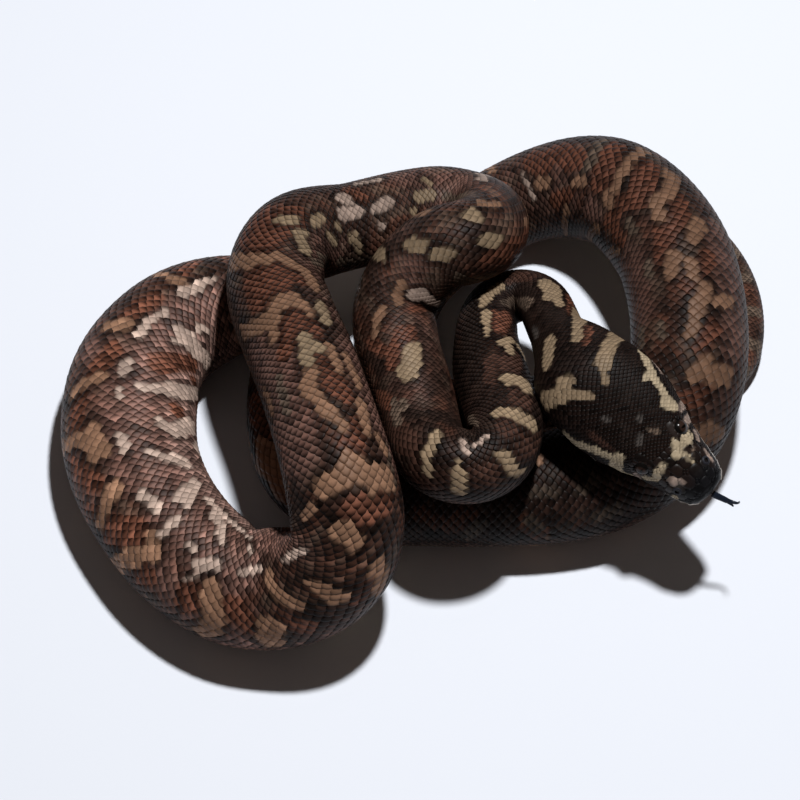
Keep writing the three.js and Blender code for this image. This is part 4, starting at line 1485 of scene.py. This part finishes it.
@dataclass
class HeadCover:
    """Plates of the snout, lips and rings round the eyes, and the room they leave for small scales."""

    form: Form
    plates: tuple[Plate, ...] = (
        Plate(1.5, 0.0, 1.5, 3.0), Plate(4.4, 1.9, 1.8, 1.9), Plate(5.2, 5.9, 1.9, 2.0, 12),
        Plate(9.3, 2.7, 3.1, 2.6), Plate(7.2, 9.9, 1.9, 2.2, 8), Plate(9.4, 7.2, 2.0, 1.7, 6),
        Plate(12.6, 11.4, 1.7, 2.2), Plate(14.9, 2.3, 2.5, 2.2), Plate(13.6, 6.8, 2.2, 2.1),
        Plate(15.9, 10.6, 1.8, 1.9), Plate(17.6, 6.2, 1.9, 1.9), Plate(19.2, 2.0, 1.9, 1.9),
        Plate(19.4, 9.8, 1.7, 1.7), Plate(22.4, 4.6, 1.7, 1.9), Plate(22.6, 1.4, 1.5, 1.4),
        Plate(26.6, 8.4, 4.1, 2.3, -4),
    )
    # Each shape's groove below is painted shade in its sunk outline; a pit is painted nearly black as shade.
    plate_shape: ScaleShape = ScaleShape(
        sides=16, power=3.4, overlap=1.12, dome=0.02, tip_rise=0.02, sunk=0.24, groove=0.85
    )
    lip_shape: ScaleShape = ScaleShape(
        sides=12, power=4.5, overlap=1.0, dome=0.1, tip_rise=0.03, sunk=0.3, groove=0.7
    )
    pitted_shape: ScaleShape = ScaleShape(
        sides=12, power=4.5, overlap=1.0, dome=0.12, tip_rise=0.0, sunk=0.3, pit=0.5, groove=0.7
    )
    ring_shape: ScaleShape = ScaleShape(
        sides=8, power=2.4, overlap=1.05, dome=0.12, tip_rise=0.0, sunk=0.2, groove=0.8
    )
    lip_count: int = 12
    lip_flare: float = 1.1
    upper_height: float = 3.5
    lower_height: float = 3.1
    ring_count: int = 13
    ring_radius: float = 3.8
    ring_half: float = 0.85
    plate_room: float = 0.2
    lip_room: float = 0.3
    eye_room: float = 4.5
    nostril_room: float = 1.9
    tip_room: float = 3.0

    def small(self, rows: list[ScaleBed]) -> list[ScaleBed]:
        """The small scales of the head, thinned to where they are free."""
        return [bed.pick(self._free(bed.distance, bed.share)) for bed in rows]

    def large(self) -> list[ScaleBed]:
        """The plates of the snout, the lips and the rings round the eyes."""
        return [self._mirrored(), *self._lips(), *self._eye_rings()]

    def _mirrored(self) -> ScaleBed:
        """The plates of the snout, on both sides unless they lie in the middle.

        Returns:
            One bed.
        """
        rows = [
            (plate.back, side * plate.out, plate.half_length, plate.half_width, side * plate.turn_deg)
            for plate in self.plates
            for side in ((1, -1) if plate.out else (1,))
        ]
        back, out, length, width, turn = np.array(rows, float).T
        share = 0.5 + out / self.form.girth_at(back)
        return ScaleBed(self.plate_shape, back, share, length, width, np.radians(turn), contrast=0.2)

    def _lips(self) -> list[ScaleBed]:
        """Upper and lower lip plates, with pits in the front ones of the upper and hind ones of the lower.

        Returns:
            Beds of plain and of pitted plates, for each lip and side.
        """
        reach = self.form.head.mouth_back - 1.5
        edge = 1.0 + reach * np.linspace(0.0, 1.0, self.lip_count + 1) ** 1.05
        middle, half = 0.5 * (edge[1:] + edge[:-1]), 0.5 * np.diff(edge)
        mouth = self.form.mouth_share(middle)
        girth = self.form.girth_at(middle)
        number = np.arange(self.lip_count)
        beds = []
        for upper, tall in ((True, self.upper_height), (False, self.lower_height)):
            height = tall * (0.62 + 0.38 * smooth(0.0, 12.0, middle))
            height *= 1.0 - 0.2 * smooth(34.0, 46.0, middle)
            share = mouth + (0.5 * height + 0.25) / girth * (1 if upper else -1)
            pits = number < 3 if upper else (number > 4) & (number < 10)
            flare = self.lip_flare if upper else 0.0
            for shape, kind in ((self.lip_shape, ~pits), (self.pitted_shape, pits)):
                for places in (share, 1.0 - share):
                    level = np.zeros(self.lip_count)
                    bed = ScaleBed(shape, middle, places, half, height / 2, level, flare, contrast=0.1)
                    beds.append(bed.pick(kind))
        return beds

    def _eye_rings(self) -> list[ScaleBed]:
        """Small scales in a ring round each eye.

        Returns:
            A bed for each side.
        """
        turn = 2 * math.pi * np.arange(self.ring_count) / self.ring_count
        back = self.form.head.eye_back
        girth = self.form.girth_at(np.array([back]))[0]
        size = np.full(self.ring_count, self.ring_half)
        distance = back + self.ring_radius * np.cos(turn)
        way_round = self.ring_radius * np.sin(turn) / girth
        return [
            ScaleBed(
                self.ring_shape, distance, self.form.eye_share(side) + way_round, size, size * 1.02, turn,
                contrast=0.0,
            )
            for side in (1, -1)
        ]

    def _free(self, distance: np.ndarray, share: np.ndarray) -> np.ndarray:
        """Where small scales may lie: clear of the snout's tip, plates, lips, eyes and nostrils.

        Args:
            distance: Distance of each scale behind the snout.
            share: Its share of the girth.

        Returns:
            Whether each scale is free.
        """
        head = self.form.head
        girth = self.form.girth_at(distance)
        out = (share - 0.5) * girth
        clear = distance > self.tip_room
        for plate in self.plates:
            for side in (1, -1):
                near = ((distance - plate.back) / (plate.half_length + self.plate_room)) ** 2
                near += ((out - side * plate.out) / (plate.half_width + self.plate_room)) ** 2
                clear &= near > 0.95
        above = (np.minimum(share, 1 - share) - self.form.mouth_share(distance)) * girth
        over, under = above > self.upper_height + self.lip_room, above < -self.lower_height - self.lip_room
        clear &= (distance > head.mouth_back) | over | under
        for side in (1, -1):
            eye = (share - self.form.eye_share(side)) * girth
            clear &= np.hypot(distance - head.eye_back, eye) > self.eye_room
            hole = (share - self.form.nostril_share(side)) * girth
            clear &= np.hypot(distance - head.nostril_back, hole) > self.nostril_room
        return clear


@dataclass
class Eye:
    """An eye: a glossy ball with an upright slit, standing a little out of the skin.

    Sizes of its parts are shares of its radius.
    """

    form: Form
    name: str
    node: str
    side: int
    stands_out: float = 1.5
    turns: int = 64
    slit_half_width: float = 0.15
    slit_half_height: float = 0.52
    iris_edge: tuple[float, float] = (0.56, 0.7)
    mottle: float = 0.35

    def build(self, finish: bpy.types.Material) -> bpy.types.Object:
        """Makes a ball of rings round an axis that points out of the head, painted by direction.

        Args:
            finish: Its material.

        Returns:
            The new piece.
        """
        back, radius = self.form.head.eye_back, self.form.head.eye_radius
        surface, normal = self.form.read(np.array([back]), np.array([self.form.eye_share(self.side)]))
        out = normal[0]
        centre = surface[0] + out * (self.stands_out - radius)
        way = self.form.spine.way[int(back / self.form.spine.step)]
        flat = unit(way - out * (way @ out))
        rings = self.turns // 2
        polar = math.pi * (np.arange(1, rings) / rings)[:, None]
        around = 2 * math.pi * (np.arange(self.turns) / self.turns)[None, :]
        x, y = np.sin(polar) * np.cos(around), np.sin(polar) * np.sin(around)
        z = np.cos(polar) * np.ones_like(around)
        local = np.concatenate([np.stack([x, y, z], -1).reshape(-1, 3), [[0, 0, 1.0]], [[0, 0, -1.0]]])
        points = centre + radius * (local @ np.stack([flat, np.cross(out, flat), out]))
        piece = add_mesh(self.name, points, closed_tube_faces(rings - 1, self.turns))
        set_colours(piece, self._paint(local))
        piece.data.materials.append(finish)
        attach(piece, "root")
        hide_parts(self.node)
        return piece

    def _paint(self, local: np.ndarray) -> np.ndarray:
        """Colours of a mottled iris round an upright slit, with a dark rim.

        Args:
            local: Directions from the ball's middle: back along the head, up, and out of it.

        Returns:
            Linear colours.
        """
        radius = np.hypot(local[:, 0], local[:, 1])
        slit = np.hypot(local[:, 0] / self.slit_half_width, local[:, 1] / self.slit_half_height) < 1
        fleck = value_noise(np.arctan2(local[:, 1], local[:, 0]) * 9 + 40, radius * 9, 5)
        colour = Pigment.IRIS.light * (1.0 + self.mottle * fleck)[:, None]
        rim = smooth(*self.iris_edge, radius)[:, None]
        colour = colour * (1 - rim) + Pigment.EYE_RIM.light * rim
        colour[slit | (local[:, 2] < 0)] = Pigment.PUPIL.light
        return colour


@dataclass
class Nostril:
    """A nostril: a low round rim with a dark hole; its profile is radius and lift, from outside inwards."""

    form: Form
    name: str
    side: int
    profile: tuple[tuple[float, float], ...] = (
        (2.1, -0.35), (1.85, 0.0), (1.5, 0.2), (1.15, 0.22), (0.9, 0.08), (0.78, -0.2), (0.7, -0.5),
        (0.0, -0.5),
    )
    sides: int = 24
    shortness: float = 0.9
    raise_by: float = 0.05
    hole_edge: tuple[float, float] = (0.75, 1.1)

    def build(self, finish: bpy.types.Material) -> bpy.types.Object:
        """Makes the rim by turning the profile about the way out of the skin.

        Args:
            finish: Its material.

        Returns:
            The new piece.
        """
        profile = np.array(self.profile)
        turn = 2 * math.pi * np.arange(self.sides) / self.sides
        radius, lift = profile[:-1, :1], profile[:-1, 1:]
        back, share = self.form.head.nostril_back, self.form.nostril_share(self.side)
        girth = self.form.girth_at(np.array([back]))[0]
        distance = back + radius * np.cos(turn) * self.shortness
        points, normals = self.form.read(distance, share + radius * np.sin(turn) / girth)
        points = points + normals * (lift + self.raise_by)[..., None]
        hub, out = self.form.read(np.array([back]), np.array([share]))
        points = np.concatenate([points.reshape(-1, 3), hub + out * profile[-1, 1]])
        quads = grid_faces(len(profile) - 1, self.sides)
        last = (len(profile) - 2) * self.sides
        ring = np.arange(self.sides)
        cap = np.stack([last + ring, last + (ring + 1) % self.sides, np.full_like(ring, len(points) - 1)], 1)
        piece = add_mesh(self.name, points, np.concatenate([quads[:, [2, 1, 0]], quads[:, [3, 2, 0]], cap]))
        depth = np.concatenate([np.repeat(profile[:-1, 0], self.sides), [0.0]])
        rim = smooth(*self.hole_edge, depth)[:, None]
        set_colours(piece, Pigment.NOSTRIL_RIM.light * rim + Pigment.NOSTRIL_HOLE.light * (1 - rim))
        piece.data.materials.append(finish)
        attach(piece, "root")
        return piece


@dataclass
class Tongue:
    """The forked tongue, a flat ribbon that parts in two.

    Stations are ahead of the snout, to the left and up; a pair of shares thins a ribbon from root to end.
    """

    form: Form
    half_width: float = 1.4
    half_thickness: float = 0.5
    sides: int = 16
    points_per_span: int = 8
    stem: tuple[tuple[float, float, float], ...] = (
        (0.4, 0, -1.4), (2.6, 0.6, -2.4), (4.6, 1.2, -3.3), (6.4, 1.7, -4.1),
    )
    tines: tuple[tuple[tuple[float, float, float], ...], ...] = (
        ((5.6, 1.7, -3.8), (8, 2.6, -4.6), (9.7, 3.5, -4), (10.3, 4.3, -1.8), (9.9, 4.7, 0.8)),
        ((5.6, 1.4, -3.8), (7.4, 1.6, -4.6), (8.8, 1.7, -5.4), (9.6, 1.6, -6.2)),
    )
    stem_thin: tuple[float, float] = (1.0, 0.8)
    tine_thin: tuple[float, float] = (0.6, 0.22)

    def build(self, finish: bpy.types.Material) -> bpy.types.Object:
        """Makes stem and tines, held out through the notch at the front of the lips.

        Args:
            finish: Its material.

        Returns:
            The new piece.
        """
        spine = self.form.spine
        frame = np.stack([-spine.way[0], spine.side[0], spine.top[0]])
        ribbons = [(self.stem, self.stem_thin), *((tine, self.tine_thin) for tine in self.tines)]
        points, faces = [], []
        for stations, thin in ribbons:
            place, triangles = self._ribbon(spine.place[0] + np.array(stations, float) @ frame, thin)
            faces.append(triangles + sum(len(p) for p in points))
            points.append(place)
        every = np.concatenate(points)
        piece = add_mesh("tongue_flesh", every, np.concatenate(faces))
        set_colours(piece, np.broadcast_to(Pigment.TONGUE.light, every.shape))
        piece.data.materials.append(finish)
        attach(piece, "root")
        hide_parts("tongue")
        return piece

    def _ribbon(self, stations: np.ndarray, thin: tuple[float, float]) -> tuple[np.ndarray, np.ndarray]:
        """A closed tube through stations by Catmull-Rom, an ellipse in section that thins to its end.

        Args:
            stations: Places that it goes through.
            thin: Its size at root and end, as shares of its half width; a thin end is rounded off.

        Returns:
            Points and triangles.
        """
        ends = np.stack([2 * stations[0] - stations[1], 2 * stations[-1] - stations[-2]])
        padded = np.concatenate([ends[:1], stations, ends[1:]])
        t = (np.arange(self.points_per_span) / self.points_per_span)[None, :, None]
        p0, p1, p2, p3 = (padded[k : len(padded) - 3 + k, None, :] for k in range(4))
        square = (2 * p0 - 5 * p1 + 4 * p2 - p3) * t**2
        cube = (3 * p1 - 3 * p2 + p3 - p0) * t**3
        curve = 0.5 * (2 * p1 + (p2 - p0) * t + square + cube)
        path = np.concatenate([curve.reshape(-1, 3), stations[-1:]])
        way = unit(np.gradient(path, axis=0))
        side = unit(self.form.spine.side[0] - way * (way @ self.form.spine.side[0])[:, None])
        top = np.cross(side, way)
        share = np.linspace(0, 1, len(path))[:, None]
        size = thin[0] + (thin[1] - thin[0]) * share
        if thin[1] < 0.5:
            size = size * np.sqrt(np.clip((1.0 - share) / 0.04 + 0.05, 0, 1))
        turn = 2 * math.pi * np.arange(self.sides) / self.sides
        wide = self.half_width * (size * np.cos(turn))[..., None] * side[:, None]
        tall = self.half_thickness * (np.sqrt(size) * np.sin(turn))[..., None] * top[:, None]
        ring = path[:, None] + wide + tall
        points = np.concatenate([ring.reshape(-1, 3), path[:1], path[-1:]])
        return points, closed_tube_faces(len(path), self.sides)


# ------------------------------------------------------------------ light, floor and camera


@dataclass
class Studio:
    """Pale floor, one lamp behind and above, a faint warm sky that fills the shade, and the camera."""

    floor_half: float = 6.0
    floor_colour: tuple[float, float, float, float] = (0.755, 0.79, 0.86, 1.0)
    lamp: tuple[float, float, float] = (0.114, 0.1497, 0.854)
    lamp_radius: float = 0.03
    lamp_power: float = 46.0
    sky_colour: tuple[float, float, float, float] = (1.0, 0.82, 0.72, 1.0)
    sky_strength: float = 0.055
    aim: tuple[float, float, float] = (-0.00834, -0.00756, 0.025)
    elevation_deg: float = 62.0
    distance: float = 0.95
    lens: float = 104.3
    film_width: float = 36.0

    def build(self) -> None:
        """Makes the floor, the light and the camera."""
        self._floor()
        self._light()
        self._camera()
        bpy.context.scene.view_settings.view_transform = "Standard"
        bpy.context.scene.view_settings.look = "None"

    def _floor(self) -> None:
        """A wide pale floor under the animal."""
        corners = np.array([(-1, -1, 0), (1, -1, 0), (1, 1, 0), (-1, 1, 0)], float) * self.floor_half / MM
        floor = add_mesh("floor", corners, np.array([[0, 1, 2, 3]]))
        material = bpy.data.materials.new("floor_paper")
        material.use_nodes = True
        shader = material.node_tree.nodes["Principled BSDF"]
        shader.inputs["Base Color"].default_value = self.floor_colour
        shader.inputs["Roughness"].default_value = 0.9
        floor.data.materials.append(material)

    def _light(self) -> None:
        """A lamp above and behind the animal, as strong near as far, and an even pale sky."""
        data = bpy.data.lights.new("key", "POINT")
        data.energy = self.lamp_power
        data.shadow_soft_size = self.lamp_radius
        data.use_nodes = True
        nodes, links = data.node_tree.nodes, data.node_tree.links
        even = nodes.new("ShaderNodeLightFalloff")
        even.inputs["Strength"].default_value = 1.0
        links.new(even.outputs["Constant"], nodes["Emission"].inputs["Strength"])
        lamp = bpy.data.objects.new("key", data)
        lamp.location = self.lamp
        bpy.context.scene.collection.objects.link(lamp)
        world = bpy.data.worlds.new("sky")
        bpy.context.scene.world = world
        world.use_nodes = True
        sky = world.node_tree.nodes["Background"]
        sky.inputs["Color"].default_value = self.sky_colour
        sky.inputs["Strength"].default_value = self.sky_strength

    def _camera(self) -> None:
        """The camera, looking along +Y and down on the animal."""
        data = bpy.data.cameras.new("camera")
        data.lens = self.lens
        data.sensor_width = self.film_width
        data.clip_start, data.clip_end = 0.05, 50.0
        camera = bpy.data.objects.new("camera", data)
        tilt = math.radians(self.elevation_deg)
        camera.location = (
            self.aim[0],
            self.aim[1] - self.distance * math.cos(tilt),
            self.aim[2] + self.distance * math.sin(tilt),
        )
        camera.rotation_euler = (math.pi / 2 - tilt, 0.0, 0.0)
        bpy.context.scene.collection.objects.link(camera)
        bpy.context.scene.camera = camera


# ------------------------------------------------------------------ assembly


@dataclass
class Coat:
    """All the scales of the animal: the head's, then one piece for each length of body with its own rows."""

    form: Form
    markings: Markings
    seed: int = 3
    crown_rows: int = 80

    def build(self, horn: bpy.types.Material, gloss: bpy.types.Material) -> list[bpy.types.Object]:
        """Makes the head's small scales and plates, then the body from neck to tail.

        Args:
            horn: Material of the small scales.
            gloss: Material of the plates of the snout and lips.

        Returns:
            The new pieces.
        """
        nape, end = self.form.spine.nape, self.form.spine.length
        chance = np.random.default_rng(self.seed)
        cover = HeadCover(self.form)
        crown = cover.small(BodyRows(self.form, 3.0, nape, self.crown_rows).beds(chance))
        head = CoatPiece("coat_head", "skin_head", 0.0, nape)
        snout = CoatPiece("coat_snout", "skin_head", 0.0, nape)
        pieces = [
            head.build(self.form, self.markings, crown, horn),
            snout.build(self.form, self.markings, cover.large(), gloss),
        ]
        lengths = (
            (CoatPiece("coat_neck", "skin_neck", nape, nape + 110), 56),
            (CoatPiece("coat_throat", "skin_neck", nape + 110, nape + 250), 62),
            (CoatPiece("coat_fore", "skin_fore", nape + 250, nape + 390), 62),
            (CoatPiece("coat_mid", "skin_body", nape + 390, nape + 520), 66),
            (CoatPiece("coat_left", "skin_body", nape + 520, nape + 660), 66),
            (CoatPiece("coat_loop", "skin_body", nape + 660, nape + 800), 66),
            (CoatPiece("coat_under", "skin_body", nape + 800, nape + 960), 62),
            (CoatPiece("coat_hind", "skin_hind", nape + 960, nape + 1140), 66),
            (CoatPiece("coat_rear", "skin_hind", nape + 1140, nape + 1330), 58),
            (CoatPiece("coat_tail", "skin_tail", nape + 1330, end - 1), 38),
        )
        for piece, rows in lengths:
            beds = BodyRows(self.form, piece.start, piece.end, rows).beds(chance)
            pieces.append(piece.build(self.form, self.markings, beds, horn))
        return pieces


def main() -> None:
    """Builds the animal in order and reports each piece."""
    logging.basicConfig(level=logging.INFO)
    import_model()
    Studio().build()
    form = Form(Spine())
    markings = Markings(form)
    horn = ScaleFinish().make()
    gloss = ScaleFinish("snout_horn", roughness=0.4, specular=0.15).make()
    wet = WetFinish("eye_film").make()
    pieces = [
        Skin(form, markings).build(horn),
        *Coat(form, markings).build(horn, gloss),
        Eye(form, "eye_ball_left", "eye_left", 1).build(wet),
        Eye(form, "eye_ball_right", "eye_right", -1).build(wet),
        Nostril(form, "nostril_left", 1).build(gloss),
        Nostril(form, "nostril_right", -1).build(gloss),
        Tongue(form).build(WetFinish("tongue_film", roughness=0.35, film=0.3).make()),
    ]
    for piece in pieces:
        LOG.info("%s: %d faces", piece.name, len(piece.data.polygons))


if __name__ == "__main__":
    main()
